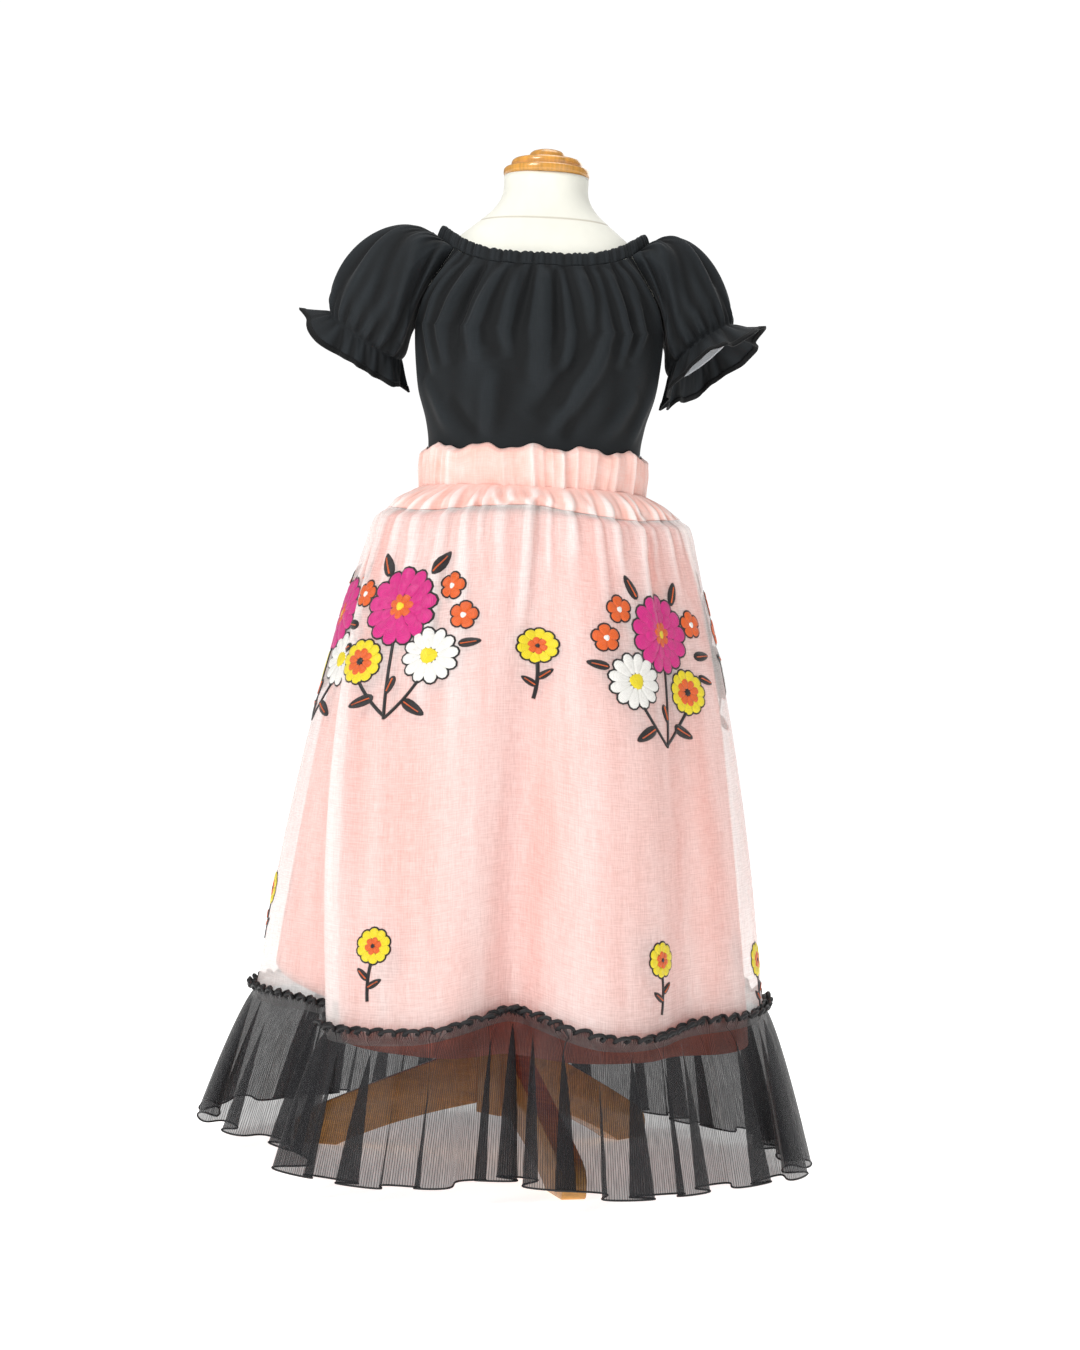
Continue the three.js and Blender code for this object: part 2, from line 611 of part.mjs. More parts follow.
function sleevePoint(sleeve, loop, column, row) {
  const columns = loop.length;
  const turn = (column / columns) * 2 * Math.PI;
  const frame = sleeveFrame(sleeve);
  const start = loop[column];
  const end = cuffPoint(sleeve, turn);
  const radial = end.clone().sub(frame.centre).normalize();
  const outer = (1 - Math.cos(turn)) / 2;
  const headShape = smoothstep(0.12, 0.85, outer);
  const leave = new THREE.Vector3(
    sleeve.side * mix(UNDERARM_LEAVE.out, sleeve.headOut, headShape),
    -Math.sin(turn) * UNDERARM_LEAVE.round,
    mix(-UNDERARM_LEAVE.down, sleeve.headUp, headShape),
  );
  const first = start.clone().add(leave);
  const second = end.clone()
    .addScaledVector(frame.mouth, -mix(UNDERARM_LIFT, sleeve.lift, headShape))
    .addScaledVector(radial, mix(UNDERARM_BULGE, sleeve.bulge, smoothstep(0, 0.6, outer)));
  const curve = new THREE.CubicBezierCurve3(start, first, second, end);
  const t = SLEEVE_ROWS[row];
  const point = curve.getPoint(t);
  const crease = Math.cos(turn * 7 + 1.7 * Math.sin(turn * 2)) * Math.sin(Math.PI * t) ** 2;
  const gather = column % 2 === 0 ? smoothstep(0.45, 0.88, t) * (1 - smoothstep(0.9, 1, t)) : 0;
  const inward = 1 - smoothstep(0.0, 0.16, outer);
  const rise = SLEEVE_CREASE_DEPTH * crease + SLEEVE_GATHER_DEPTH * gather;
  return point.addScaledVector(radial, rise * (1 - inward));
}

// Both pieces at the cuff are mitred along the ring's own radius, with a seam's gap between them.
function sleeveWall(sleeve, rows, radialRow) {
  const outer = sleeve.side > 0 ? rows : rows.map((line) => [line[0], ...line.slice(1).reverse()]);
  const normals = gridNormals(outer, true);
  const centre = sleeveFrame(sleeve).centre;
  const inner = outer.map((line, row) => line.map((point, column) => {
    const inwards = row === radialRow ? centre.clone().sub(point).normalize() : null;
    return point.clone().addScaledVector(inwards ?? normals[row][column].clone().negate(), COTTON_WALL);
  }));
  return { outer, inner };
}

function makeSleeve(sleeve) {
  const loop = sleeveLoop(sleeve.side);
  const rows = SLEEVE_ROWS.map((_, row) => (
    loop.map((point, column) => sleevePoint(sleeve, loop, column, row))
  ));
  // Rows run from the cuff up, and columns by the side, so that the outer face looks out.
  rows.reverse();
  const { outer, inner } = sleeveWall(sleeve, rows, 0);
  // The panels' walls go straight in towards the body's axis, and under the arm so does the
  // sleeve's. Above that it halves the angle to its own way in, so that it doesn't cross itself.
  const seamRow = outer.length - 1;
  const sleeveNormals = gridNormals(outer, true)[seamRow];
  inner[seamRow] = outer[seamRow].map((point, column) => {
    const inwards = new THREE.Vector3(-point.x, -point.y, 0).normalize();
    const share = smoothstep(SEAM_MITRE_LOW, SEAM_MITRE_HIGH, point.z);
    const halfway = inwards.addScaledVector(sleeveNormals[column], -share).normalize();
    return point.clone().addScaledVector(halfway, COTTON_WALL);
  });
  // The puff's two halves, joined under the arm and over the shoulder.
  const top = loop.length / 2;
  const halves = sleeve.side > 0 ? ['front', 'back'] : ['back', 'front'];
  halves.forEach((half, index) => {
    const cut = (grid) => panelOfRing(grid, index * top, (index + 1) * top);
    addPiece(`sleeve_${sleeve.name}_${half}`, wallBetween(cut(outer), cut(inner), false), blackCotton);
  });
}

// The frill below the elastic: waves that grow to its edge.
function makeCuffFrill(sleeve) {
  const columns = CUFF_GATHERS * 2;
  const rows = [1, 0.45, 0].map((drop) => Array.from({ length: columns }, (_, column) => {
    const turn = (column / columns) * 2 * Math.PI;
    const wave = (column % 2 === 0 ? 1 : -1) * FRILL_WAVE * FRILL_WAVE_SHARE * drop;
    const radial = cuffPoint(sleeve, turn).sub(sleeveFrame(sleeve).centre).normalize();
    return cuffPoint(sleeve, turn)
      .addScaledVector(sleeveFrame(sleeve).mouth, CLOTH_SEAM)
      .addScaledVector(frillDirection(sleeve, turn), FRILL_LENGTH * drop)
      .addScaledVector(radial, wave);
  }));
  const { outer, inner } = sleeveWall(sleeve, rows, rows.length - 1);
  addPiece(`cuff_frill_${sleeve.name}`, wallBetween(outer, inner, true), blackCotton);
}

// A flat woven elastic inside each cuff, just above the frill.
function makeCuffElastic(sleeve) {
  const columns = CUFF_GATHERS * 2;
  const frame = sleeveFrame(sleeve);
  const inset = COTTON_WALL + ELASTIC_CLEARANCE;
  const ring = (growth) => ringGrid(columns, [0.5, -0.5], (turn, level) => (
    cuffPoint(sleeve, sleeve.side * turn, growth).addScaledVector(frame.mouth, level * ELASTIC_WIDTH)
  ));
  const geometry = wallBetween(ring(-inset), ring(-inset - ELASTIC_WALL), true);
  addPiece(`cuff_elastic_${sleeve.name}`, geometry, whiteElastic);
}

// ---- skirt --------------------------------------------------------------------------------
function foldsAt(degrees, z) {
  const linear = Math.min(1.1, Math.max(0, (YOKE_BOTTOM - z) / (YOKE_BOTTOM - SEAM_HEIGHT)));
  let total = 0;
  for (const fold of SKIRT_FOLDS) {
    const place = mix(fold.top, fold.hem, linear);
    const away = ((degrees - place + 540) % 360) - 180;
    const spread = (away < 0 ? fold.spreadLow : fold.spreadHigh) * mix(1, 1.15, linear);
    total += mix(fold.depthTop, fold.depthHem, linear) * Math.exp(-((away / spread) ** 2));
  }
  return total;
}

// The deep fold at the front's left slants, so the columns near it lean with it: level at the
// hem, and turned furthest at the yoke.
function leanWithFold(angle, z) {
  const degrees = THREE.MathUtils.radToDeg(Math.atan2(Math.sin(angle), Math.cos(angle)));
  const near = Math.exp(-(((degrees - DEEP_FOLD_ANGLE) / DEEP_FOLD_REACH) ** 2));
  const height = Math.min(1, Math.max(0, (z - SEAM_HEIGHT) / (YOKE_BOTTOM - SEAM_HEIGHT)));
  return angle - THREE.MathUtils.degToRad(DEEP_FOLD_LEAN) * near * height;
}

function hemHeight(column, angle) {
  const degrees = THREE.MathUtils.radToDeg(Math.atan2(Math.sin(angle), Math.cos(angle)));
  return along(HEM_HEIGHTS, 'angle', column, degrees);
}

// Small gathers where the skirt is sewn to the yoke, dying out below it.
function topGathers(angle, z) {
  const wave = 0.5 + 0.5 * Math.cos(SKIRT_TOP_GATHERS * angle + 1.1 * Math.sin(3 * angle));
  return SKIRT_GATHER_DEPTH * wave * smoothstep(YOKE_BOTTOM - SKIRT_GATHER_LENGTH, YOKE_BOTTOM - 6, z);
}

// The gauze's outer face, moved out by some distance.
function skirtPoint(angle, z, out = 0) {
  const degrees = THREE.MathUtils.radToDeg(angle);
  const point = sectionPoint(SKIRT_SECTIONS, angle, z);
  return point.addScaledVector(outwards(angle), foldsAt(degrees, z) + topGathers(angle, z) + out);
}

// The gauze's columns; the ruffle is sewn along the chords between them.
const GAUZE_COLUMNS = 84;

// A point off the gauze's outer face, square to it in plan, over the chords between its columns.
function offGauze(angle, z, distance) {
  const step = (2 * Math.PI) / GAUZE_COLUMNS;
  const index = Math.floor(angle / step + 1e-6);
  const corner = (column) => {
    const before = skirtPoint((column - 1) * step, z);
    const here = skirtPoint(column * step, z);
    const after = skirtPoint((column + 1) * step, z);
    const first = here.clone().sub(before).normalize();
    const second = after.sub(here).normalize();
    const chord = first.clone().add(second).normalize();
    const normal = new THREE.Vector3(chord.y, -chord.x, 0);
    const mitre = Math.max(0.5, chord.dot(first));
    return here.addScaledVector(normal, distance / mitre);
  };
  return corner(index).lerp(corner(index + 1), angle / step - index);
}

const GAUZE_LEVELS = [0, 0.17, 0.36, 0.56, 0.76, 0.9, 1];

function makeGauzePanel(name, facing) {
  const margin = 0.0008;
  const start = facing > 0 ? -Math.PI / 2 : Math.PI / 2;
  const grid = panelGrid(GAUZE_COLUMNS / 2, GAUZE_LEVELS, (u, level) => {
    const angle = start + mix(margin, Math.PI - margin, u);
    const z = mix(hemHeight('seam', angle) - GAUZE_TUCK, YOKE_BOTTOM - SEAM_GAP, level);
    return skirtPoint(leanWithFold(angle, z), z);
  });
  addPiece(name, wallBetween(grid, levelInner(grid, GAUZE_WALL, false), false), pinkGauze);
}

// The lining hangs inside the gauze: it follows every valley, and the ridges by half.
function liningPoint(angle, z) {
  const degrees = THREE.MathUtils.radToDeg(angle);
  const fold = foldsAt(degrees, z);
  const follow = Math.min(0, fold) + Math.max(0, fold) * LINING_RIDGE_SHARE;
  const gap = mix(GAUZE_WALL + 0.6, LINING_GAP, 1 - smoothstep(300, YOKE_BOTTOM, z));
  const point = sectionPoint(SKIRT_SECTIONS, angle, z);
  return point.addScaledVector(outwards(angle), follow - gap);
}

// One ring of the lining, between two heights that may change round it.
function liningRing(levels, bottomAt, top) {
  const outer = ringGrid(LINING_COLUMNS, levels, (angle, level) => {
    const z = mix(bottomAt(angle), top, level);
    return liningPoint(leanWithFold(angle, z), z);
  });
  return { outer, inner: levelInner(outer, GAUZE_WALL, true) };
}

// The lining's hip yoke of four panels, and its skirt, sewn together round the hips.
function makeLining() {
  const skirt = liningRing([0, 0.3, 0.65, 1], (angle) => hemHeight('lining', angle), LINING_YOKE_SEAM);
  addPiece('skirt_lining', wallBetween(skirt.outer, skirt.inner, true), coralLining);
  const yoke = liningRing([0, 0.5, 1], () => LINING_YOKE_SEAM + CLOTH_SEAM, YOKE_BOTTOM - SEAM_GAP);
  const quarter = LINING_COLUMNS / 4;
  ['front', 'right', 'back', 'left'].forEach((place, index) => {
    const cut = (grid) => panelOfRing(grid, (index - 0.5) * quarter, (index + 0.5) * quarter);
    addPiece(`lining_yoke_${place}`, wallBetween(cut(yoke.outer), cut(yoke.inner), false), coralLining);
  });
}

// The puffed hip yoke between the waistband and the gathered skirt.
function makeYoke() {
  const levels = [0, 0.3, 0.65, 1];
  const grid = ringGrid(GAUZE_COLUMNS, levels, (angle, level) => {
    const z = mix(YOKE_BOTTOM, BAND_BOTTOM - SEAM_GAP, level);
    const low = skirtPoint(angle, YOKE_BOTTOM, 0.4);
    const high = sectionPoint(BLOUSE_SECTIONS, angle, BAND_BOTTOM, BODY_SQUARENESS)
      .addScaledVector(outwards(angle), BAND_WALL + 2);
    const puff = YOKE_PUFF * Math.sin(Math.PI * level);
    const crease = YOKE_CREASE * Math.cos(19 * angle + Math.sin(4 * angle)) * Math.sin(Math.PI * level);
    return low.lerp(high, level ** 1.15).setZ(z).addScaledVector(outwards(angle), puff + crease);
  });
  addPiece('skirt_yoke', wallBetween(grid, levelInner(grid, GAUZE_WALL + 0.4, true), true), pinkGauze);
}

// The elastic waistband: a plain inside on the blouse, gathers raised on the outside.
function makeWaistband() {
  const columns = BAND_GATHERS * 4;
  const gather = (angle) => (
    0.5 + 0.5 * Math.cos(BAND_GATHERS * angle + 0.9 * Math.sin(2 * angle) + 0.7 * Math.sin(5 * angle))
  );
  const onBlouse = (angle, z, out) => (
    sectionPoint(BLOUSE_SECTIONS, angle, BAND_BOTTOM, BODY_SQUARENESS)
      .setZ(z)
      .addScaledVector(outwards(angle), out)
  );
  const topAt = (angle) => (
    BAND_TOP + BAND_TOP_WAVE * (Math.cos(BAND_GATHERS * angle * 0.5 + Math.sin(3 * angle)) - 1)
  );
  const outer = ringGrid(columns, [0, 0.5, 1], (angle, level) => {
    const z = mix(BAND_BOTTOM, topAt(angle), level);
    const depth = BAND_GATHER_DEPTH * mix(0.8, 1, level) * gather(angle);
    const belly = BAND_BELLY * Math.sin(Math.PI * level);
    return onBlouse(angle, z, BAND_WALL + depth + belly);
  });
  const inner = ringGrid(columns, [0, 0.5, 1], (angle, level) => (
    onBlouse(angle, mix(BAND_BOTTOM, topAt(angle), level), BAND_CLEARANCE)
  ));
  addPiece('skirt_waistband', wallBetween(outer, inner, true), pinkGauze);
}

// ---- net ruffle ---------------------------------------------------------------------------
function ruffleWave(angle) {
  const phase = RUFFLE_WAVES * angle + 1.2 * Math.sin(3 * angle + 0.6) + 0.8 * Math.sin(5 * angle);
  return Math.cos(phase) * (0.78 + 0.22 * Math.sin(4 * angle + 1));
}

function makeRuffle() {
  const columns = RUFFLE_WAVES * 6;
  const levels = ['hem', 'low', 'high', 'seam', 'header'];
  const dropOf = { hem: 1, low: 0.62, high: 0.28, seam: 0, header: 0 };
  const grid = ringGrid(columns, levels, (angle, level) => {
    const seam = hemHeight('seam', angle);
    const drop = dropOf[level];
    const clear = NET_WALL + RUFFLE_CLEARANCE;
    if (level === 'header') {
      const curl = 0.5 + 0.5 * Math.cos(HEADER_GATHERS * angle);
      return offGauze(angle, seam + HEADER_HEIGHT, clear + 1 + HEADER_DEPTH * curl);
    }
    const z = mix(seam, hemHeight('hem', angle), drop);
    const flare = RUFFLE_FLARE * drop ** 0.85;
    const wave = RUFFLE_WAVE_DEPTH * ruffleWave(angle) * drop ** 0.8;
    return offGauze(angle, seam, clear).addScaledVector(outwards(angle), flare + wave).setZ(z);
  });
  addPiece('hem_ruffle', wallBetween(grid, levelInner(grid, NET_WALL, true), true), blackNet);
}

makeTorso();
makeNeckCap();
makeStand();
makeNeckCasing();
makePanel('blouse_front', 1, FRONT_FOLDS);
makePanel('blouse_back', -1, BACK_FOLDS);
for (const sleeve of SLEEVES) {
  makeSleeve(sleeve);
  makeCuffFrill(sleeve);
  makeCuffElastic(sleeve);
}
makeWaistband();
makeYoke();
makeGauzePanel('skirt_front', 1);
makeGauzePanel('skirt_back', -1);
makeLining();
makeRuffle();

export default garment;
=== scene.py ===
# Girl's skirt and blouse set on a dress form: the looks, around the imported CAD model.
# Metres in Blender; the tables and formulas below are in millimetres, +Z up, front towards -Y.
import math

import bmesh
import bpy
import numpy as np
from mathutils import Matrix, Vector


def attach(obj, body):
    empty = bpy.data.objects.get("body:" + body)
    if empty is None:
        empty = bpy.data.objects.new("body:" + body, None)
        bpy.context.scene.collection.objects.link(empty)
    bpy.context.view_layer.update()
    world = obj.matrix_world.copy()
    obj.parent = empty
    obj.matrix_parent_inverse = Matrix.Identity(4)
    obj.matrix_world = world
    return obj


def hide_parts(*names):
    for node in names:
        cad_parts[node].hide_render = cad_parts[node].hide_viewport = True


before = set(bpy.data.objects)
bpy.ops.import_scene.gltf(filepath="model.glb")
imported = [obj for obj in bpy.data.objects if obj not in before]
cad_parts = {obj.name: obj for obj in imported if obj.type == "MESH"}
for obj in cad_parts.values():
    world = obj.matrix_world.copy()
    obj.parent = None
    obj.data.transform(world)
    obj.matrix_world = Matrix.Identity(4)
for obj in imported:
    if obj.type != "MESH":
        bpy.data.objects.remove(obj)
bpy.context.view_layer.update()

bl_info = {
    "name": "Folk Skirt and Blouse Set",
    "version": (1, 0, 0),
    "blender": (4, 5, 0),
    "location": "3D View > Sidebar > Folk Set",
    "description": "Black elastic-necked blouse and gauze skirt with a net ruffle, on a dress form",
    "category": "Object",
}

MM = 0.001
BODY = "root"
TAU = 2 * math.pi


# ---- tables --------------------------------------------------------------------------------
def table(names, *rows):
    """A small table with named columns, each an array."""
    return {name: np.array(column, float) for name, column in zip(names.split(), zip(*rows))}


TORSO_SECTIONS = table(
    "z half front back",
    (640, 112, 84, 88), (665, 127, 95, 101), (715, 128, 95, 100), (768, 120.3, 88, 84.5),
    (824, 120.5, 88.3, 84.5), (870, 125, 91, 86), (940, 132, 98, 91), (1000, 131, 93, 87),
    (1035, 122, 81, 78), (1058, 103, 68, 68), (1078, 80, 57, 59), (1096, 60, 49, 51),
    (1114, 50, 45, 47), (1135.7, 49, 45, 46),
)
BLOUSE_SECTIONS = table(
    "z half front back",
    (770, 123, 91, 88), (824, 123, 91, 88), (850, 127, 95, 90), (885, 134, 100, 94),
    (925, 138.5, 104, 97), (965, 139.5, 104.5, 97), (1000, 137.5, 102, 94), (1040, 131, 95, 89),
    (1070, 121, 88, 83),
)
SKIRT_SECTIONS = table(
    "z half front back",
    (140, 297, 284, 274), (190, 292, 279, 268), (350, 271, 254, 244), (500, 244, 221, 213),
    (620, 216, 184, 180), (700, 190, 150, 150), (745, 169, 126, 126),
)
# Soft vertical folds of the skirt: places and spreads in degrees from the front, depths outwards.
SKIRT_FOLDS = table(
    "top hem spread_low spread_high depth_top depth_hem",
    (-64, -39, 5, 15, 7, 22), (-75, -49, 14, 6.5, -12, -46), (-20, -19, 12, 10, 2, 10),
    (4, 1, 8, 9, -6, -56), (26, 22, 10, 14, 3, 12), (52, 46, 9, 9, -3, -20),
    (72, 66, 10, 12, 2, 10), (98, 96, 9, 8, -3, -30), (132, 128, 9, 11, -3, -38),
    (168, 166, 10, 8, -4, -46), (206, 204, 9, 10, -3, -34), (240, 243, 8, 10, -3, -40),
)
# Heights of the ruffle's seam, its hem and the lining's hem at each angle round the skirt.
HEM_HEIGHTS = table(
    "angle seam hem lining",
    (-180, 190, 18, 162), (-135, 186, 28, 180), (-92, 183, 44, 220), (-55, 180, 36, 188),
    (-38, 166, 27, 158), (-18, 170, 24, 150), (1, 192, 28, 150), (21, 171, 22, 150),
    (50, 180, 18, 150), (90, 199, 20, 152), (135, 194, 18, 156), (180, 190, 18, 162),
)
# How far the yoke's seam rises or dips at each angle round the waist.
YOKE_SEAM = table(
    "angle rise",
    (-180, 0), (-125, -3), (-80, 2), (-45, -5), (-18, 1), (2, 4), (18, -2), (42, -7),
    (62, -3), (90, 2), (135, -3), (180, 0),
)
# Folds that fall from the neck casing: place across the panel, half width, depth and reach.
FRONT_FOLDS = table(
    "place spread depth reach",
    (-0.86, 0.10, 5.5, 0.75), (-0.58, 0.09, 4.5, 0.5), (-0.30, 0.11, 6.5, 0.9),
    (0.02, 0.10, 5, 0.6), (0.30, 0.09, 6, 0.85), (0.58, 0.11, 4.5, 0.55), (0.86, 0.10, 5.5, 0.7),
)
BACK_FOLDS = table(
    "place spread depth reach",
    (-0.80, 0.11, 5, 0.7), (-0.46, 0.10, 5.5, 0.9), (-0.12, 0.11, 4.5, 0.6),
    (0.22, 0.10, 6, 0.85), (0.54, 0.11, 4.5, 0.55), (0.84, 0.10, 5, 0.75),
)
# Creases of a panel or sleeve: a line from one place to another, its half width and its depth.
FRONT_CREASES = table(
    "u0 v0 u1 v1 width depth",
    (-0.37, 0.99, -0.30, 0.52, 0.035, 5), (-0.27, 0.99, -0.24, 0.60, 0.03, -4.5),
    (-0.18, 0.99, -0.13, 0.54, 0.035, 5), (-0.06, 0.99, -0.09, 0.62, 0.03, -4),
    (0.03, 0.99, 0.0, 0.42, 0.035, 4.5), (0.10, 0.99, 0.07, 0.60, 0.025, -4),
    (0.16, 0.99, 0.13, 0.48, 0.03, 4.5), (0.46, 0.98, 0.12, 0.22, 0.045, 5.5),
    (0.40, 0.98, 0.20, 0.42, 0.035, -4), (0.57, 0.99, 0.42, 0.52, 0.04, 5.5),
    (0.66, 0.98, 0.50, 0.58, 0.03, -4.5), (0.77, 0.97, 0.50, 0.56, 0.04, 5),
    (0.35, 0.62, 0.05, 0.16, 0.05, 4.5), (0.26, 0.64, -0.02, 0.28, 0.04, -3),
    (-0.62, 0.97, -0.50, 0.50, 0.04, 5.5), (-0.50, 0.98, -0.42, 0.60, 0.03, -4.5),
    (-0.80, 0.95, -0.62, 0.46, 0.04, 5), (-0.75, 0.45, -0.40, 0.04, 0.06, 4),
    (-0.20, 0.50, -0.30, 0.04, 0.05, 3.5), (0.62, 0.42, 0.30, 0.03, 0.06, 4),
    (0.82, 0.50, 0.64, 0.06, 0.06, 3.5), (0.14, 0.40, 0.19, 0.03, 0.05, -3),
    (-0.52, 0.36, -0.20, 0.03, 0.05, -3),
)
BACK_CREASES = table(
    "u0 v0 u1 v1 width depth",
    (-0.76, 0.97, -0.60, 0.50, 0.04, 5), (-0.64, 0.98, -0.52, 0.58, 0.03, -4.5),
    (-0.50, 0.98, -0.44, 0.44, 0.035, 5), (-0.33, 0.99, -0.30, 0.60, 0.03, -4),
    (-0.22, 0.99, -0.17, 0.50, 0.035, 5), (-0.04, 0.99, 0.02, 0.56, 0.035, 4.5),
    (0.10, 0.99, 0.08, 0.62, 0.03, -4.5), (0.24, 0.99, 0.20, 0.46, 0.035, 5),
    (0.42, 0.98, 0.32, 0.54, 0.035, 5), (0.56, 0.98, 0.48, 0.60, 0.03, -4),
    (0.72, 0.97, 0.56, 0.50, 0.04, 5.5), (-0.70, 0.42, -0.34, 0.03, 0.06, 4),
    (0.72, 0.40, 0.30, 0.03, 0.06, 4), (0.05, 0.50, -0.18, 0.04, 0.05, 4),
    (0.30, 0.42, 0.12, 0.04, 0.05, -3),
)
# A sleeve's long folds: place round the loop and t from the neck to the cuff.
SLEEVE_CREASES = table(
    "u0 v0 u1 v1 width depth",
    (0.34, 0.02, 0.20, 0.66, 0.022, 6.5), (0.38, 0.02, 0.26, 0.78, 0.020, -5.5),
    (0.42, 0.02, 0.33, 0.86, 0.025, 7), (0.45, 0.03, 0.40, 0.72, 0.018, -5),
    (0.48, 0.02, 0.46, 0.88, 0.024, 6), (0.30, 0.02, 0.14, 0.52, 0.018, -4.5),
    (0.22, 0.08, 0.12, 0.72, 0.022, 5), (0.52, 0.05, 0.54, 0.80, 0.022, -5),
    (0.56, 0.02, 0.60, 0.84, 0.024, 6), (0.62, 0.02, 0.68, 0.76, 0.020, -5),
    (0.66, 0.02, 0.75, 0.72, 0.024, 6), (0.72, 0.05, 0.82, 0.62, 0.018, -4.5),
    (0.78, 0.08, 0.88, 0.72, 0.022, 5),
)
# The elastic ring of each cuff and the puff above it.
SLEEVES = {
    "right": dict(
        side=1, centre=(188, 4, 944), rise=0.62, half=46, depth=50, back_drop=10, bulge=22,
        lift=40, head_out=38, head_up=44, frill_tip=50, frill_front=44, frill_back=22, frill=35,
    ),
    "left": dict(
        side=-1, centre=(-201, 4, 945), rise=0.52, half=50, depth=52, back_drop=-12, bulge=30,
        lift=42, head_out=50, head_up=46, frill_tip=58, frill_front=10, frill_back=26, frill=33,
    ),
}

# Narrow gathers that fall from the yoke's seam: the place and its drift in degrees, how far they
# fall, and their half width and depth.
SEAM_GATHERS = table(
    "place drift fall width depth",
    (-63, 4, 90, 1.6, 3.5), (-52, 4, 130, 1.8, 4), (-43, 5, 170, 2.0, 5), (-31, 4, 250, 1.6, 7),
    (-22.5, 3, 120, 1.5, 6), (-18, 2, 90, 1.3, 5.5), (-9, 0, 70, 1.5, 3.5), (0.5, -2, 160, 1.7, 7),
    (7.5, -1.5, 90, 1.4, 5), (15, 0, 60, 1.5, 3), (24.5, -1, 130, 1.7, 6), (32, -2, 80, 1.5, 4),
    (43, -4, 180, 1.9, 6), (60, -2, 100, 1.6, 4), (71, -3, 150, 1.9, 5), (84, 1, 90, 1.5, 4),
    (95, -2, 180, 1.8, 5.5), (104, 1, 70, 1.4, 3.5), (116, 2, 140, 1.8, 5), (127, -2, 100, 1.5, 4.5),
    (139, 1, 190, 1.9, 6), (150, 0, 80, 1.5, 4), (161, -2, 130, 1.7, 5), (173, 1, 160, 1.8, 5.5),
    (184, 0, 90, 1.5, 4), (195, -2, 150, 1.8, 5), (207, 1, 110, 1.6, 4.5), (219, 0, 180, 1.9, 6),
    (230, 2, 80, 1.5, 4), (241, 1, 140, 1.7, 5), (253, -1, 100, 1.6, 4.5), (264, 1, 170, 1.8, 5.5),
    (275, 2, 90, 1.5, 4), (286, 2, 130, 1.7, 4.5),
)

BLOUSE_BOTTOM = 784
UNDERARM_HEIGHT = 962
RAGLAN_ANGLE = math.radians(55)
NECK_HALF_WIDTH = 118
NECK_FRONT_DEPTH = 93
NECK_BACK_DEPTH = 84
NECK_FRONT_HEIGHT = 1028
NECK_SHOULDER_HEIGHT = 1066
NECK_BACK_HEIGHT = 1046
CASING_HALF_HEIGHT = 7.5
CASING_HALF_THICKNESS = 2.6
CASING_LEAN = 0.35
CASING_SEAM = 0.7
SEAM_GAP = 0.3
BODY_SQUARENESS = 0.9
BAND_TOP = 819
BAND_BOTTOM = 770
BAND_WALL = 5
YOKE_BOTTOM = 745
YOKE_PUFF = 8
SEAM_TUCK = 5
SEAM_HEIGHT = 190
DEEP_FOLD_ANGLE = -44
DEEP_FOLD_REACH = 35
DEEP_FOLD_LEAN = 26
GAUZE_TUCK = 5
LINING_GAP = 17
HEADER_HEIGHT = 9
HEADER_LOOPS = 92
HEADER_LOOP_DEPTH = 8.0
HEADER_LOOP_SIDE = 4.2
HEADER_CORD_RADIUS = 2.3
RUFFLE_WAVES = 28
RUFFLE_FOLD_SHARE = 0.215
RUFFLE_CLEARANCE = 2.2
RUFFLE_FLARE = 46
RUFFLE_HEM_RADIUS = 325
HEM_CORD_RADIUS = 1.1
STITCH_CLEARANCE = 0.3
LAYER_HEIGHT = 0.22
YOKE_THICKNESS = 0.8
LINING_THICKNESS = 0.5
BINDING_THICKNESS = 2.2
ELASTIC_HALF_WIDTH = 4.5
ELASTIC_INSET = 2.5
ELASTIC_THICKNESS = 1.2
CAP_BOTTOM = 1136
TORSO_BOTTOM = 640
TORSO_TOP = 1135.7
NECK_SEAM_HEIGHT = 1081
POLE_RADIUS = 14
HUB_TOP = 132
HUB_BOTTOM = 52
HUB_FLAT_DISTANCE = 30
LEG_THICKNESS = 28
LEG_REACH = 248
LEG_ANGLES = (-71, 49, 169)
LINING_NODES = (
    "skirt_lining", "lining_yoke_front", "lining_yoke_right", "lining_yoke_back", "lining_yoke_left",
)
# The pitch of the ribs and threads that the finishes draw.
COTTON_THREAD = 0.8
GAUZE_THREAD = 1.4
GAUZE_FINE_THREAD = 1.0
LINING_THREAD = 0.9
NET_RIB = 2.8
ELASTIC_RIB = 1.4
STITCH_PITCH = 1.6
# The camera's place in metres, its tilt about its own axis in degrees, and its lens.
CAMERA_PLACE = (0.0186, -3.0, 0.560)
CAMERA_ROLL = 2.6
CAMERA_LENS = 68.96
CAMERA_SENSOR = 36
LIGHTS_AIM = (0, 0, 0.65)


# ---- curves worked out from the tables -----------------------------------------------------
def smooth(low, high, value):
    t = np.clip((value - low) / (high - low), 0, 1)
    return t * t * (3 - 2 * t)


def mix(a, b, t):
    return a + (b - a) * t


def along(rows, key, column, at):
    """Reads one column of a table along its key column, as a smooth curve through the rows."""
    keys, values = rows[key], rows[column]
    last = len(keys) - 1
    before = np.maximum(np.arange(last + 1) - 1, 0)
    after = np.minimum(np.arange(last + 1) + 1, last)
    slope = (values[after] - values[before]) / (keys[after] - keys[before])
    row = np.clip(np.searchsorted(keys[1:], at, side="left"), 0, last - 1)
    span = keys[row + 1] - keys[row]
    t = np.clip((at - keys[row]) / span, 0, 1)
    rise = values[row + 1] - values[row]
    bend = (slope[row] * span - rise) * (1 - t) + (rise - slope[row + 1] * span) * t
    return values[row] + rise * t + t * (1 - t) * bend


def signed_power(value, power):
    return np.sign(value) * np.abs(value) ** power


def point(x, y, z):
    return np.stack(np.broadcast_arrays(x, y, z), axis=-1).astype(float)


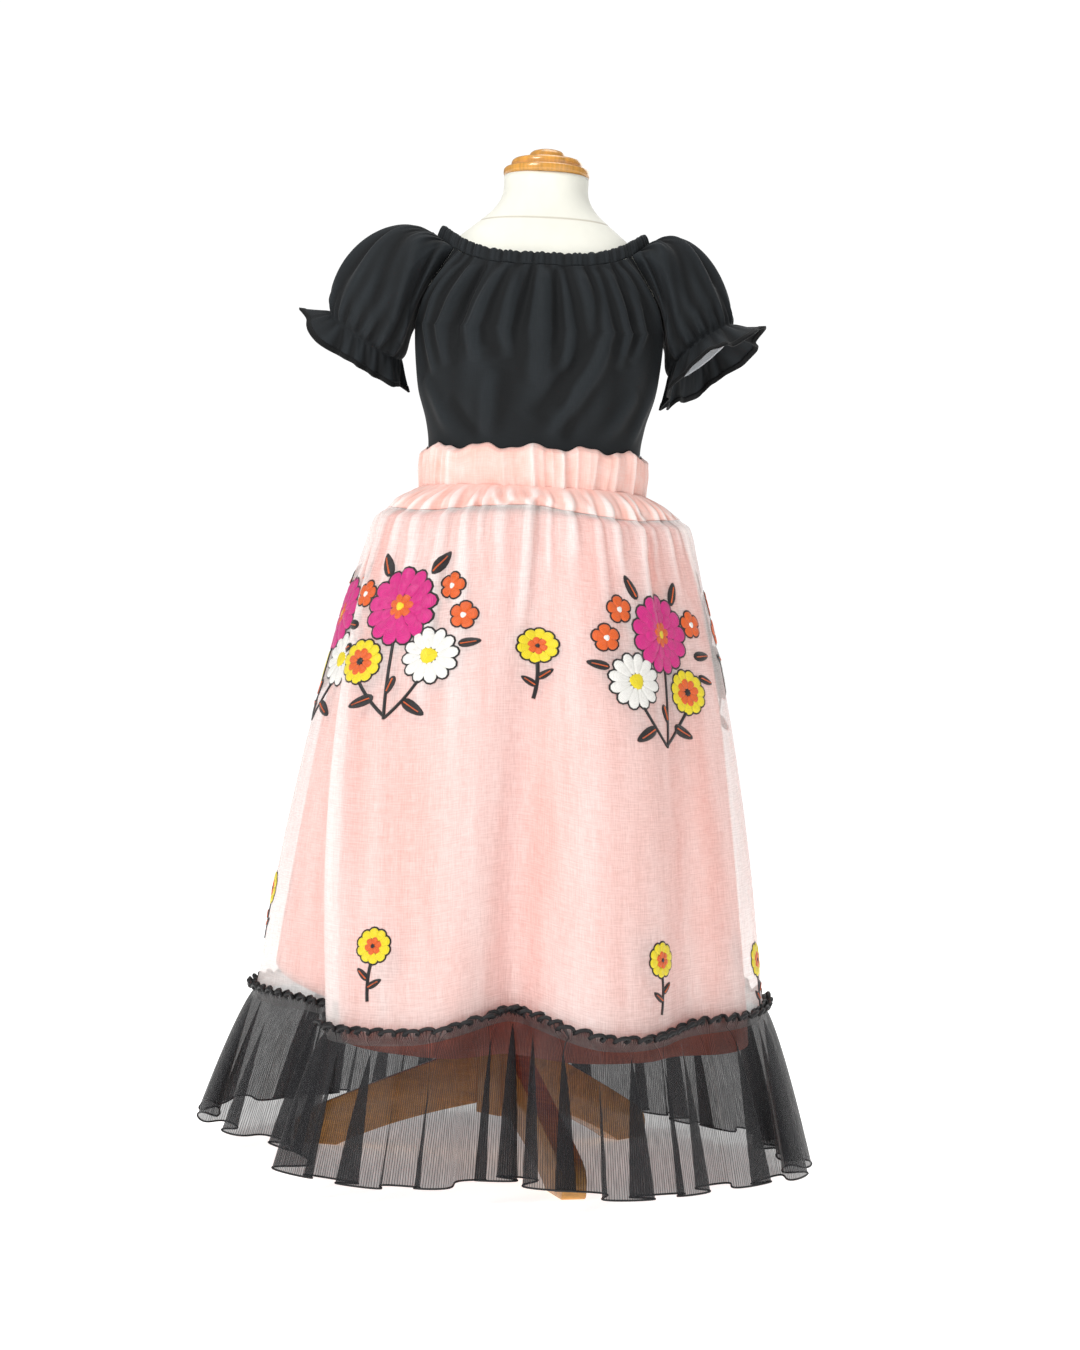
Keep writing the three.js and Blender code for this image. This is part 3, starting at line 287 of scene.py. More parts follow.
def section(rows, angle, z, squareness=1.0):
    """A point of a body-like section; squareness under 1 is boxier than an ellipse."""
    depth = np.where(np.cos(angle) > 0, along(rows, "z", "front", z), along(rows, "z", "back", z))
    x = along(rows, "z", "half", z) * signed_power(np.sin(angle), squareness)
    return point(x, -depth * signed_power(np.cos(angle), squareness), z)


def outwards(angle):
    return point(np.sin(angle), -np.cos(angle), 0)


def sideways(angle):
    return point(np.cos(angle), np.sin(angle), 0)


def round_angles(columns):
    """A row of angles evenly round the body."""
    return np.arange(columns)[None, :] / columns * TAU


def scaled(vectors, lengths):
    return vectors * np.asarray(lengths)[..., None]


def unit(vectors):
    return vectors / np.maximum(np.linalg.norm(vectors, axis=-1, keepdims=True), 1e-9)


def creases(rows, u, v):
    """Soft ridges and troughs along the lines of a crease table, thin at both ends."""
    total = np.zeros(np.broadcast(u, v).shape)
    for u0, v0, u1, v1, width, depth in zip(*rows.values()):
        length = math.hypot(u1 - u0, v1 - v0)
        du, dv = (u1 - u0) / length, (v1 - v0) / length
        t = ((u - u0) * du + (v - v0) * dv) / length
        away = ((u - u0) * dv - (v - v0) * du) / width
        ends = np.sin(np.pi * np.clip(t, 0, 1)) ** 0.6
        total += depth * np.exp(-(away ** 2)) * ends
    return total


def round_the_body(angle):
    """The angle in degrees, from -180 to 180."""
    return np.degrees(np.arctan2(np.sin(angle), np.cos(angle)))


# ---- blouse --------------------------------------------------------------------------------
def neck_point(angle):
    is_front = np.cos(angle) > 0
    depth = np.where(is_front, NECK_FRONT_DEPTH, NECK_BACK_DEPTH)
    low = np.where(is_front, NECK_FRONT_HEIGHT, NECK_BACK_HEIGHT)
    return point(
        NECK_HALF_WIDTH * signed_power(np.sin(angle), BODY_SQUARENESS),
        -depth * signed_power(np.cos(angle), BODY_SQUARENESS),
        mix(low, NECK_SHOULDER_HEIGHT, np.abs(np.sin(angle)) ** 3),
    )


def casing_up(angle):
    return unit(point(-CASING_LEAN * np.sin(angle), CASING_LEAN * np.cos(angle), 1))


def casing_out(angle):
    return unit(point(np.sin(angle), -np.cos(angle), CASING_LEAN))


def neck_edge(angle):
    return neck_point(angle) - casing_up(angle) * (CASING_HALF_HEIGHT + CASING_SEAM)


def casing_gathers(angle):
    """The casing's broad gathers, from 0 to 1, which run on into the cloth below it."""
    return 0.5 + 0.5 * np.cos(44 * angle + 1.3 * np.sin(9 * angle + 0.4) + 0.8 * np.sin(17 * angle))


def casing_scallops(angle):
    """The small gathers that scallop its edge, from 0 to 1."""
    return np.abs(np.cos(55 * angle + 1.5 * np.sin(7 * angle) + 0.9 * np.sin(19 * angle)))


UNDERARM_LEVEL = (UNDERARM_HEIGHT - BLOUSE_BOTTOM) / (neck_edge(RAGLAN_ANGLE)[2] - BLOUSE_BOTTOM)


def panel_point(facing, across, level, folds=None, crease_rows=None):
    """A point of the front (facing 1) or back (-1) panel; across runs from -1 to 1."""
    rise = np.maximum(0, (level - UNDERARM_LEVEL) / (1 - UNDERARM_LEVEL))
    reach = mix(math.pi / 2 - 0.0015, RAGLAN_ANGLE, rise ** 0.75) * across
    top_angle = RAGLAN_ANGLE * across
    angle = reach if facing > 0 else math.pi - reach
    top_angle = top_angle if facing > 0 else math.pi - top_angle
    top = neck_edge(top_angle)
    z = mix(BLOUSE_BOTTOM, top[..., 2], level)
    place = section(BLOUSE_SECTIONS, angle, z, BODY_SQUARENESS)
    top_on_body = section(BLOUSE_SECTIONS, top_angle, top[..., 2], BODY_SQUARENESS)
    place = place + scaled(top - top_on_body, smooth(0.78, 1, level))
    if folds is None:
        return place
    puff = np.zeros(np.broadcast(across, level).shape)
    for fold_place, fold_spread, depth, fold_reach in zip(*folds.values()):
        spread = fold_spread * mix(1.25, 0.9, level)
        shape = np.exp(-(((across - fold_place) / spread) ** 2))
        fade = smooth(0.16, 0.4, level) * (1 - smooth(0.93, 1, level) * 0.7)
        puff += depth * shape * fade * smooth(0.75 - fold_reach, 1.2 - fold_reach, level)
    puff += 1.25 * creases(crease_rows, across, level) * smooth(0.13, 0.26, level)
    puff += 2.0 * casing_gathers(top_angle) * smooth(0.66, 0.95, level)
    puff += 0.7 * casing_scallops(top_angle) * smooth(0.84, 0.97, level)
    gathers_low = 17 * top_angle + 1.5 * np.sin(5 * top_angle)
    puff += 1.6 * np.cos(gathers_low) * smooth(0.45, 0.8, level) * (1 - smooth(0.88, 1, level))
    edge = 1 - smooth(0.9, 1, np.abs(across))
    return place + scaled(outwards(angle), puff * edge)


def sleeve_loop(side, place):
    """The edge a sleeve is sewn in along, for place 0 to 1: up the front raglan seam, over the
    shoulder along the neck edge, and down the back raglan seam."""
    front = panel_point(1, side, mix(UNDERARM_LEVEL, 1, np.clip(place * 4, 0, 1)))
    over_place = np.clip(place * 2 - 0.5, 0, 1)
    over = neck_edge(side * mix(RAGLAN_ANGLE, math.pi - RAGLAN_ANGLE, over_place))
    back = panel_point(-1, side, mix(1, UNDERARM_LEVEL, np.clip(place * 4 - 3, 0, 1)))
    part = np.asarray(place)[..., None]
    loop = np.where(part < 0.25, front, np.where(part < 0.75, over, back))
    return loop + np.array([side * SEAM_GAP, 0, 0])


class SleeveFrame:
    """The directions of a cuff's ring: towards its outer end, towards its back, out of its mouth."""

    def __init__(self, sleeve):
        self.sleeve = sleeve
        side, rise = sleeve["side"], sleeve["rise"]
        self.out = np.array([side * math.sqrt(1 - rise ** 2), 0, rise])
        self.back = unit(np.array([0, sleeve["depth"], -sleeve["back_drop"]], float))
        mouth = unit(np.cross(self.out, self.back))
        self.mouth = -mouth if mouth[2] > 0 else mouth
        self.centre = np.array(sleeve["centre"], float)

    def cuff(self, turn, growth=0.0):
        """A point of the elastic ring; turn 0 is under the arm, a quarter is the front."""
        half, depth = self.sleeve["half"] + growth, self.sleeve["depth"] + growth
        return (
            self.centre
            - scaled(np.broadcast_to(self.out, np.shape(turn) + (3,)), np.cos(turn) * half)
            - scaled(np.broadcast_to(self.back, np.shape(turn) + (3,)), np.sin(turn) * depth)
        )

    def radial(self, turn):
        return unit(self.cuff(turn) - self.centre)

    def frill_direction(self, turn):
        """Hanging straight down under the arm, standing out at the outer end."""
        outer = (1 - np.cos(turn)) / 2
        frontness = np.sin(turn)
        middle = np.where(frontness > 0, self.sleeve["frill_front"], self.sleeve["frill_back"])
        flare = mix(mix(12, self.sleeve["frill_tip"], outer ** 3), middle, frontness ** 2)
        tilt = np.radians(flare)
        hang = 0.9 * (1 - outer ** 4)
        down = unit(mix(self.mouth, np.array([0, 0, -1.0]), hang[..., None]))
        return unit(scaled(down, np.cos(tilt)) + scaled(self.radial(turn), np.sin(tilt)))


def sleeve_point(form, place, t):
    """A point of the puff, place 0 to 1 round the loop and t 0 at the seam to 1 at the cuff."""
    sleeve = form.sleeve
    turn = place * TAU
    start = sleeve_loop(sleeve["side"], place)
    end = form.cuff(turn)
    radial = form.radial(turn)
    outer = (1 - np.cos(turn)) / 2
    head = smooth(0.12, 0.85, outer)
    leave = point(
        sleeve["side"] * mix(14, sleeve["head_out"], head), -np.sin(turn) * 20,
        mix(-16, sleeve["head_up"], head),
    )
    lift = scaled(np.broadcast_to(form.mouth, leave.shape), -mix(12, sleeve["lift"], head))
    first = start + leave
    second = end + lift + scaled(radial, mix(5, sleeve["bulge"], smooth(0, 0.6, outer)))
    s = np.asarray(t)[..., None]
    curve = (
        start * (1 - s) ** 3 + 3 * first * s * (1 - s) ** 2
        + 3 * second * s ** 2 * (1 - s) + end * s ** 3
    )
    crease = np.cos(turn * 7 + 1.7 * np.sin(turn * 2)) * np.sin(np.pi * t) ** 2
    gather = 0.5 + 0.5 * np.cos(16 * turn + 1.1 * np.sin(3 * turn + 1))
    gather = gather * smooth(0.5, 0.86, t) * (1 - smooth(0.92, 1, t))
    fine = np.cos(33 * turn + 2 * np.sin(4 * turn)) * smooth(0.74, 0.93, t) * (1 - smooth(0.97, 1, t))
    neck_gather = np.cos(38 * turn + 1.5 * np.sin(6 * turn))
    neck_gather = neck_gather * (1 - smooth(0.08, 0.36, t)) * smooth(0, 0.05, t)
    neck_gather = neck_gather * smooth(0.35, 0.6, outer)
    tumble = np.cos(11 * turn + 5 * t + 1.5) * np.sin(np.pi * t) ** 1.5
    long_folds = creases(SLEEVE_CREASES, place, t)
    outwards_by = (
        1.8 * crease + 3.2 * gather + 1.2 * fine + 1.7 * neck_gather + 1.3 * tumble + long_folds
    )
    return curve + scaled(radial, outwards_by * smooth(0.0, 0.16, outer))


def frill_grid(form, turn, drop):
    """The frill below the elastic: fine gathers that open into broad waves at its edge."""
    sleeve = form.sleeve
    wave = 5.0 * np.cos(8 * turn + 1.4 * np.sin(2 * turn + 0.5)) * drop ** 1.3
    wave = wave + 2.4 * np.cos(16 * turn + 1.1 * np.sin(3 * turn + 1)) * drop ** 0.8
    wave = wave + 1.1 * np.cos(33 * turn + 2 * np.sin(4 * turn)) * (1 - drop) * smooth(0, 0.12, drop)
    shape = np.broadcast(turn, drop).shape
    length = sleeve["frill"] * drop * (1 + 0.05 * np.cos(5 * turn + 1))
    return (
        form.cuff(turn)
        + scaled(np.broadcast_to(form.frill_direction(turn), shape + (3,)), np.broadcast_to(length, shape))
        + scaled(np.broadcast_to(form.radial(turn), shape + (3,)), wave)
    )


# ---- skirt ---------------------------------------------------------------------------------
def folds_at(degrees, z):
    linear = np.clip((YOKE_BOTTOM - z) / (YOKE_BOTTOM - SEAM_HEIGHT), 0, 1.1)
    total = 0
    for top, hem, low, high, depth_top, depth_hem in zip(*SKIRT_FOLDS.values()):
        away = (degrees - mix(top, hem, linear) + 540) % 360 - 180
        spread = np.where(away < 0, low, high) * mix(1, 1.15, linear)
        total = total + mix(depth_top, depth_hem, linear) * np.exp(-((away / spread) ** 2))
    return total


def lean_with_fold(angle, z):
    near = np.exp(-(((round_the_body(angle) - DEEP_FOLD_ANGLE) / DEEP_FOLD_REACH) ** 2))
    height = np.clip((z - SEAM_HEIGHT) / (YOKE_BOTTOM - SEAM_HEIGHT), 0, 1)
    return angle - math.radians(DEEP_FOLD_LEAN) * near * height


def hem_height(column, angle):
    return along(HEM_HEIGHTS, "angle", column, round_the_body(angle))


def yoke_seam(angle):
    return YOKE_BOTTOM + along(YOKE_SEAM, "angle", "rise", round_the_body(angle))


def top_gathers(angle, z):
    """Gathers where the skirt is sewn to the yoke, dying out below it."""
    wave = 0.5 + 0.5 * np.cos(22 * angle + 1.1 * np.sin(3 * angle))
    fine = np.cos(57 * angle + 2.2 * np.sin(4 * angle) + 1)
    depth = smooth(YOKE_BOTTOM - 90, YOKE_BOTTOM - 6, z)
    return 4.5 * wave * depth + 1.1 * fine * smooth(YOKE_BOTTOM - 60, YOKE_BOTTOM - 8, z)


def seam_gathers(degrees, z):
    """Rolled gathers below the seam, each a ridge with a trough beside it."""
    total = 0
    for place, drift, fall, width, depth in zip(*SEAM_GATHERS.values()):
        down = np.clip((YOKE_BOTTOM - z) / fall, 0, 1)
        away = (degrees - place - drift * down + 540) % 360 - 180
        spread = width * mix(1, 1.9, down)
        roll = np.exp(-((away / spread) ** 2)) - 0.75 * np.exp(-((away / spread - 1.6) ** 2))
        total = total + depth * roll * (1 - down ** 1.5)
    return total


def seam_tuck(angle, z):
    """How far the cloth is drawn in at the yoke's seam."""
    below = yoke_seam(angle) - z
    shoulder = 3.5 * smooth(0, 9, below) * (1 - smooth(12, 45, below))
    return SEAM_TUCK * (1 - smooth(0, 10, below)) - shoulder


def skirt_point(angle, z, out=0.0):
    """The gauze's outer face, moved out by some distance."""
    place = section(SKIRT_SECTIONS, angle, z)
    degrees = np.degrees(angle)
    total = folds_at(degrees, z) + top_gathers(angle, z) + seam_gathers(degrees, z)
    return place + scaled(outwards(angle), total - seam_tuck(angle, z) + out)


def off_gauze(angle, z, distance):
    """A point off the gauze's outer face, square to it in plan."""
    step = math.radians(0.6)
    chord = skirt_point(angle + step, z) - skirt_point(angle - step, z)
    normal = unit(point(chord[..., 1], -chord[..., 0], 0))
    return skirt_point(angle, z) + scaled(normal, distance)


def ruffle_phase(angle):
    return RUFFLE_WAVES * angle + 1.2 * np.sin(3 * angle + 0.6) + 0.8 * np.sin(5 * angle)


def ruffle_wavelength(angle):
    """The length of one of the ruffle's waves at its hem."""
    rate = RUFFLE_WAVES + 3.6 * np.cos(3 * angle + 0.6) + 4 * np.cos(5 * angle)
    return TAU * RUFFLE_HEM_RADIUS / rate


# ---- meshes --------------------------------------------------------------------------------
def new_piece(mesh):
    """An object of the mesh's name, put in the scene."""
    piece = bpy.data.objects.new(mesh.name, mesh)
    bpy.context.scene.collection.objects.link(piece)
    return piece


def lay_out(mesh, places):
    """Gives each corner of a mesh its place on the flat cloth, in metres."""
    layer = mesh.uv_layers.new(name="Cloth")
    layer.data.foreach_set("uv", places.astype(np.float32).ravel())


def cumulative(lengths, axis):
    """Lengths summed along an axis, starting from 0."""
    start = np.zeros_like(np.take(lengths, [0], axis=axis))
    return np.concatenate([start, np.cumsum(lengths, axis=axis)], axis=axis)


def flat_lengths(grid, is_ring):
    """Each grid point's place on the flat cloth, in metres: across by its lowest row, up by its
    own column."""
    looped = np.concatenate([grid, grid[:, :1]], axis=1) if is_ring else grid
    across = cumulative(np.linalg.norm(np.diff(looped[0], axis=0), axis=-1), 0)
    up = cumulative(np.linalg.norm(np.diff(looped, axis=0), axis=-1), 0)
    up = np.broadcast_to(up.mean(axis=1, keepdims=True), up.shape)
    return np.stack([np.broadcast_to(across, up.shape), up], axis=-1) * MM


def grid_mesh(name, grid, is_ring=False, is_tube=False, crest=None):
    """A mesh on a grid of points in millimetres: rows up and columns round, so that its faces
    look outwards. A ring joins its last column to its first, a tube its last row too. The crest
    is how far each point lies on a ridge of the cloth, from 0 to 1."""
    rows, columns = grid.shape[:2]
    index = np.arange(rows * columns).reshape(rows, columns)
    flat = flat_lengths(grid, is_ring)
    if is_ring:
        index = np.concatenate([index, index[:, :1]], axis=1)
    if is_tube:
        index = np.concatenate([index, index[:1]], axis=0)
        flat = np.concatenate([flat, flat[:1] + [0, flat[-1, 0, 1] * 1.02]], axis=0)
    corners = [(0, 0), (0, 1), (1, 1), (1, 0)]
    take = lambda a, r, c: a[r:a.shape[0] - 1 + r, c:a.shape[1] - 1 + c]
    quads = np.stack([take(index, r, c) for r, c in corners], axis=-1).reshape(-1, 4)
    places = np.stack([take(flat, r, c) for r, c in corners], axis=2).reshape(-1, 2)
    mesh = bpy.data.meshes.new(name)
    mesh.from_pydata((grid.reshape(-1, 3) * MM).tolist(), [], quads.tolist())
    lay_out(mesh, places)
    if crest is not None:
        ridge = mesh.attributes.new("Crest", "FLOAT", "POINT")
        ridge.data.foreach_set("value", np.broadcast_to(crest, grid.shape[:2]).astype(np.float32).ravel())
    mesh.shade_smooth()
    mesh.update()
    return new_piece(mesh)


def deselect_all():
    for other in bpy.context.selected_objects:
        other.select_set(False)


def select_only(piece):
    deselect_all()
    piece.select_set(True)
    bpy.context.view_layer.objects.active = piece


def apply_modifiers(piece):
    select_only(piece)
    for modifier in list(piece.modifiers):
        bpy.ops.object.modifier_apply(modifier=modifier.name)


def thicken(piece, thickness, offset=-1.0):
    """Gives a sheet its cloth's thickness, in millimetres."""
    shell = piece.modifiers.new("Cloth thickness", "SOLIDIFY")
    shell.thickness = thickness * MM
    shell.offset = offset
    shell.use_rim = True
    apply_modifiers(piece)


def ridge_heights(grid, reach, is_ring=False):
    """How far each point stands out from the middle of its neighbours, in millimetres."""
    if is_ring:
        before, after = np.roll(grid, reach, axis=1), np.roll(grid, -reach, axis=1)
    else:
        margins = ((0, 0), (reach, reach), (0, 0))
        padded = np.pad(grid, margins, mode="reflect", reflect_type="odd")
        before, after = padded[:, :-2 * reach], padded[:, 2 * reach:]
    normal = unit(np.cross(after - before, np.gradient(grid, axis=0)) + 1e-9)
    return ((grid - (before + after) / 2) * normal).sum(axis=-1)


def round_grid(columns, levels, point_at):
    """Columns evenly round the body, a row for each level."""
    return point_at(round_angles(columns), np.asarray(levels, float)[:, None])


def panel_grid(columns, levels, point_at):
    """Columns evenly across a panel, a row for each level."""
    return point_at(np.linspace(0, 1, columns + 1)[None, :], np.asarray(levels, float)[:, None])


def cord_grid(path, up, radius, sides=6):
    """A closed cord of round section along a closed path of points."""
    tangent = unit(np.roll(path, -1, axis=0) - np.roll(path, 1, axis=0))
    side = unit(np.cross(tangent, up))
    top = np.cross(side, tangent)
    turn = np.arange(sides) / sides * TAU
    ring = side * np.cos(turn)[:, None, None] + top * np.sin(turn)[:, None, None]
    return path + ring * radius


def finish_piece(piece, material, replaced=()):
    piece.data.materials.clear()
    piece.data.materials.append(material)
    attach(piece, BODY)
    if replaced:
        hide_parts(*replaced)
    return piece


# ---- materials -----------------------------------------------------------------------------
def linear(hex_colour):
    """An sRGB hex colour as linear red, green, blue and alpha."""
    parts = [int(hex_colour[i:i + 2], 16) / 255 for i in (1, 3, 5)]
    return tuple(c / 12.92 if c <= 0.04045 else ((c + 0.055) / 1.055) ** 2.4 for c in parts) + (1.0,)


def add_node(tree, kind, inputs=None, **settings):
    """Adds a node with its settings; an input is a value or another node's output."""
    node = tree.nodes.new(kind)
    for name, value in settings.items():
        setattr(node, name, value)
    for socket, value in (inputs or {}).items():
        if isinstance(value, bpy.types.NodeSocket):
            tree.links.new(value, node.inputs[socket])
        else:
            node.inputs[socket].default_value = value
    return node


def new_material(name):
    material = bpy.data.materials.new(name)
    material.use_nodes = True
    material.node_tree.nodes.clear()
    return material, material.node_tree


def finish_material(tree, **inputs):
    shader = add_node(tree, "ShaderNodeBsdfPrincipled", {k.replace("_", " "): v for k, v in inputs.items()})
    add_node(tree, "ShaderNodeOutputMaterial", {"Surface": shader.outputs[0]})


def stretched_noise(tree, coordinates, size, detail=2.0, roughness=0.5):
    """Noise whose grains have the given sizes along the coordinates' axes, in millimetres."""
    scale = [1000 / s for s in size] + [1000 / size[0]] * (3 - len(size))
    mapping = add_node(tree, "ShaderNodeMapping", {"Vector": coordinates, "Scale": scale})
    noise = add_node(
        tree, "ShaderNodeTexNoise",
        {"Vector": mapping.outputs[0], "Scale": 1.0, "Detail": detail, "Roughness": roughness},
    )
    return noise.outputs[0]


def maths(tree, operation, *values, clamp=False):
    node = add_node(tree, "ShaderNodeMath", dict(enumerate(values)), operation=operation)
    node.use_clamp = clamp
    return node.outputs[0]


def blend_colours(tree, factor, first, second):
    node = add_node(
        tree, "ShaderNodeMix", {"Factor": factor, 6: first, 7: second}, data_type="RGBA",
    )
    return node.outputs[2]


def spread(tree, value, low, high, new_low=0.0, new_high=1.0):
    node = add_node(
        tree, "ShaderNodeMapRange",
        {"Value": value, "From Min": low, "From Max": high, "To Min": new_low, "To Max": new_high},
    )
    return node.outputs[0]


def bump(tree, height, distance, strength=1.0):
    node = add_node(
        tree, "ShaderNodeBump", {"Height": height, "Distance": distance * MM, "Strength": strength},
    )
    return node.outputs[0]


def cloth_place(tree):
    """Where a point lies on the flat cloth, in metres."""
    return add_node(tree, "ShaderNodeUVMap", uv_map="Cloth").outputs[0]


def object_place(tree):
    return add_node(tree, "ShaderNodeTexCoord").outputs["Object"]


def threads(tree, place, width, length):
    """Irregular threads both ways: the lengthwise and the crosswise ones, as two values."""
    warp = stretched_noise(tree, place, (width, length))
    weft = stretched_noise(tree, place, (length, width))
    return warp, weft


def ribs_across(tree, place, pitch):
    """Even ribs, one in each pitch across the cloth, from -1 to 1."""
    across = add_node(tree, "ShaderNodeSeparateXYZ", {"Vector": place}).outputs[0]
    return maths(tree, "SINE", maths(tree, "MULTIPLY", across, TAU / (pitch * MM)))


def palette():
    return bpy.context.scene.folk_set_colours


def tone(colour, share=1.0):
    """A colour of the palette, darker or lighter by a share, with its alpha."""
    return tuple(min(1.0, part * share) for part in colour) + (1.0,)


def fold_shading_mask(tree):
    """How far a place stands on a ridge of the cloth, from 0 in a trough to 1 on a crest: the mask for
    painted light on ridges and painted shade in troughs.
    """
    return add_node(tree, "ShaderNodeAttribute", attribute_name="Crest").outputs["Fac"]


def make_black_cotton(name="black cotton poplin", share=1.0):
    # Cotton poplin, woven and dyed black: matt, with a faint sheen. Painted shade darkens its folds'
    # troughs and painted light lightens their ridges. The weave is drawn at 0.8 mm, about three times
    # too coarse, to show.
    material, tree = new_material(name)
    warp, weft = threads(tree, cloth_place(tree), COTTON_THREAD, 12)
    weave = maths(tree, "ADD", warp, weft)
    wear = stretched_noise(tree, object_place(tree), (55, 55, 90), 3)
    woven, worn = spread(tree, weave, 0.7, 1.3, 0.7, 1), spread(tree, wear, 0.3, 0.7, 0.7, 1)
    amount = maths(tree, "MULTIPLY", woven, worn)
    # Painted shade in the folds' troughs and painted light on their ridges, from the Crest mask.
    amount = maths(tree, "MULTIPLY", amount, spread(tree, fold_shading_mask(tree), 0.15, 0.9))
    cotton = palette().cotton
    finish_material(
        tree, Base_Color=blend_colours(tree, amount, tone(cotton, 0.36 * share), tone(cotton, 1.6 * share)),
        Roughness=0.78, Specular_IOR_Level=0.25, Sheen_Weight=0.06, Sheen_Roughness=0.4,
        Normal=bump(tree, weave, 0.2, 0.35),
    )
    return material


def gauze_weave(tree, place):
    """The gauze's uneven threads both ways, from about 0 to 1, drawn 1.4 mm apart: twice as
    coarse as they are, so that they show."""
    warp, weft = threads(tree, place, GAUZE_THREAD, 34)
    fine_warp, fine_weft = threads(tree, place, GAUZE_FINE_THREAD, 11)
    sums = maths(tree, "ADD", maths(tree, "ADD", warp, weft), maths(tree, "ADD", fine_warp, fine_weft))
    return spread(tree, sums, 1.65, 2.35)


def make_gauze():
    # Cotton gauze, loosely woven and undyed: white irregular threads with gaps between, so the
    # lining's colour comes through, pinker where the two lie close; painted light whitens its ridges.
    material, tree = new_material("white cotton gauze")
    place = cloth_place(tree)
    weave = gauze_weave(tree, place)
    touch = stretched_noise(tree, place, (42, 330), 2)
    crest = fold_shading_mask(tree)
    thick, close = spread(tree, weave, 0, 1, 0.37, 0.55), spread(tree, touch, 0.3, 0.7, -0.07, 0.1)
    cover = maths(tree, "ADD", thick, close)
    # Painted light: more cover, so whiter gauze, on the ridges.
    cover = maths(tree, "ADD", cover, maths(tree, "MULTIPLY", crest, 0.17), clamp=True)
    finish_material(
        tree, Base_Color=tone(palette().gauze), Roughness=0.9, Specular_IOR_Level=0.15, Alpha=cover,
        Sheen_Weight=0.06, Normal=bump(tree, weave, 0.2, 0.3),
    )
    return material


def make_doubled_gauze():
    # The same gauze gathered double over the coral lining: closer, pinker, with painted light whitening its
    # ridges.
    material, tree = new_material("doubled gauze over coral")
    place = cloth_place(tree)
    weave = gauze_weave(tree, place)
    touch = stretched_noise(tree, place, (22, 30), 2)
    crest = fold_shading_mask(tree)
    thick, close = spread(tree, weave, 0, 1, 0.22, 0.38), spread(tree, touch, 0.3, 0.7, -0.12, 0.12)
    white = maths(tree, "ADD", thick, close)
    # Painted light: whiter on the ridges, by the Crest mask.
    white = maths(tree, "ADD", white, maths(tree, "MULTIPLY", crest, 0.42), clamp=True)
    finish_material(
        tree, Base_Color=blend_colours(tree, white, linear("#f0ab9a"), tone(palette().gauze)),
        Roughness=0.9, Specular_IOR_Level=0.15, Sheen_Weight=0.06, Normal=bump(tree, weave, 0.2, 0.3),
    )
    return material


def make_coral_lining():
    # Polyester lining, plain woven and dyed coral: smooth, with a slight sheen. Its threads are
    # drawn about five times too coarse, to show.
    material, tree = new_material("coral polyester lining")
    place = cloth_place(tree)
    warp, weft = threads(tree, place, LINING_THREAD, 12)
    weave = maths(tree, "ADD", warp, weft)
    coral = palette().lining
    colour = blend_colours(tree, spread(tree, weave, 0.7, 1.3), tone(coral, 0.9), tone(coral, 1.08))
    finish_material(
        tree, Base_Color=colour, Roughness=0.62, Specular_IOR_Level=0.4, Sheen_Weight=0.15,
        Normal=bump(tree, weave, 0.2, 0.4),
    )
    return material


def make_black_net():
    # Nylon net, knitted with ribs: the ribs are nearly opaque, and the mesh between them lets
    # about a third of the light through. The ribs are drawn about twice as far apart as they are.
    material, tree = new_material("black ribbed nylon net")
    place = cloth_place(tree)
    rib = spread(tree, ribs_across(tree, place, NET_RIB), 0.0, 0.8)
    uneven = stretched_noise(tree, place, (1.1, 24), 2)
    between = spread(tree, uneven, 0.3, 0.7, 0.58, 0.78)
    alpha = maths(tree, "MAXIMUM", between, maths(tree, "MULTIPLY", rib, 0.92))
    net = palette().net
    finish_material(
        tree, Base_Color=blend_colours(tree, rib, tone(net, 1.3), tone(net, 0.8)), Roughness=0.6,
        Specular_IOR_Level=0.3, Alpha=alpha, Sheen_Weight=0.08,
    )
    return material


def make_black_thread():
    # Overlocked polyester thread: tight loops side by side, slightly glossy.
    material, tree = new_material("black overlock thread")
    loops = stretched_noise(tree, object_place(tree), (1.2, 1.2, 1.2), 2)
    finish_material(
        tree, Base_Color=linear("#121214"), Roughness=0.55, Specular_IOR_Level=0.45,
        Normal=bump(tree, loops, 0.4, 0.8),
    )
    return material


def make_elastic():
    # Woven polyester elastic: grey-white and matt, with fine ribs.
    material, tree = new_material("woven white elastic")
    ribs = ribs_across(tree, cloth_place(tree), ELASTIC_RIB)
    colour = blend_colours(tree, spread(tree, ribs, -1, 1), linear("#b9bdc4"), linear("#e4e7ea"))
    finish_material(tree, Base_Color=colour, Roughness=0.75, Normal=bump(tree, ribs, 0.3, 0.6))
    return material


def make_canvas():
    # Jersey-covered canvas of a dress form: cream, matt, with faint soiling.
    material, tree = new_material("cream form canvas")
    place = object_place(tree)
    knit = stretched_noise(tree, place, (0.9, 0.9, 0.9), 2)
    soil = stretched_noise(tree, place, (45, 45, 70), 4)
    height = add_node(tree, "ShaderNodeSeparateXYZ", {"Vector": place}).outputs[2]
    from_seam = maths(tree, "ABSOLUTE", maths(tree, "SUBTRACT", height, NECK_SEAM_HEIGHT * MM))
    seam = spread(tree, from_seam, 0.0003, 0.0016, 1, 0)
    form = palette().form
    clean = blend_colours(tree, spread(tree, soil, 0.35, 0.75), tone(form, 1.03), tone(form, 0.94))
    colour = blend_colours(tree, maths(tree, "MULTIPLY", seam, 0.5), clean, linear("#a08e78"))
    finish_material(
        tree, Base_Color=colour, Roughness=0.85, Specular_IOR_Level=0.25, Sheen_Weight=0.15,
        Normal=bump(tree, knit, 0.25, 0.5),
    )
    return material


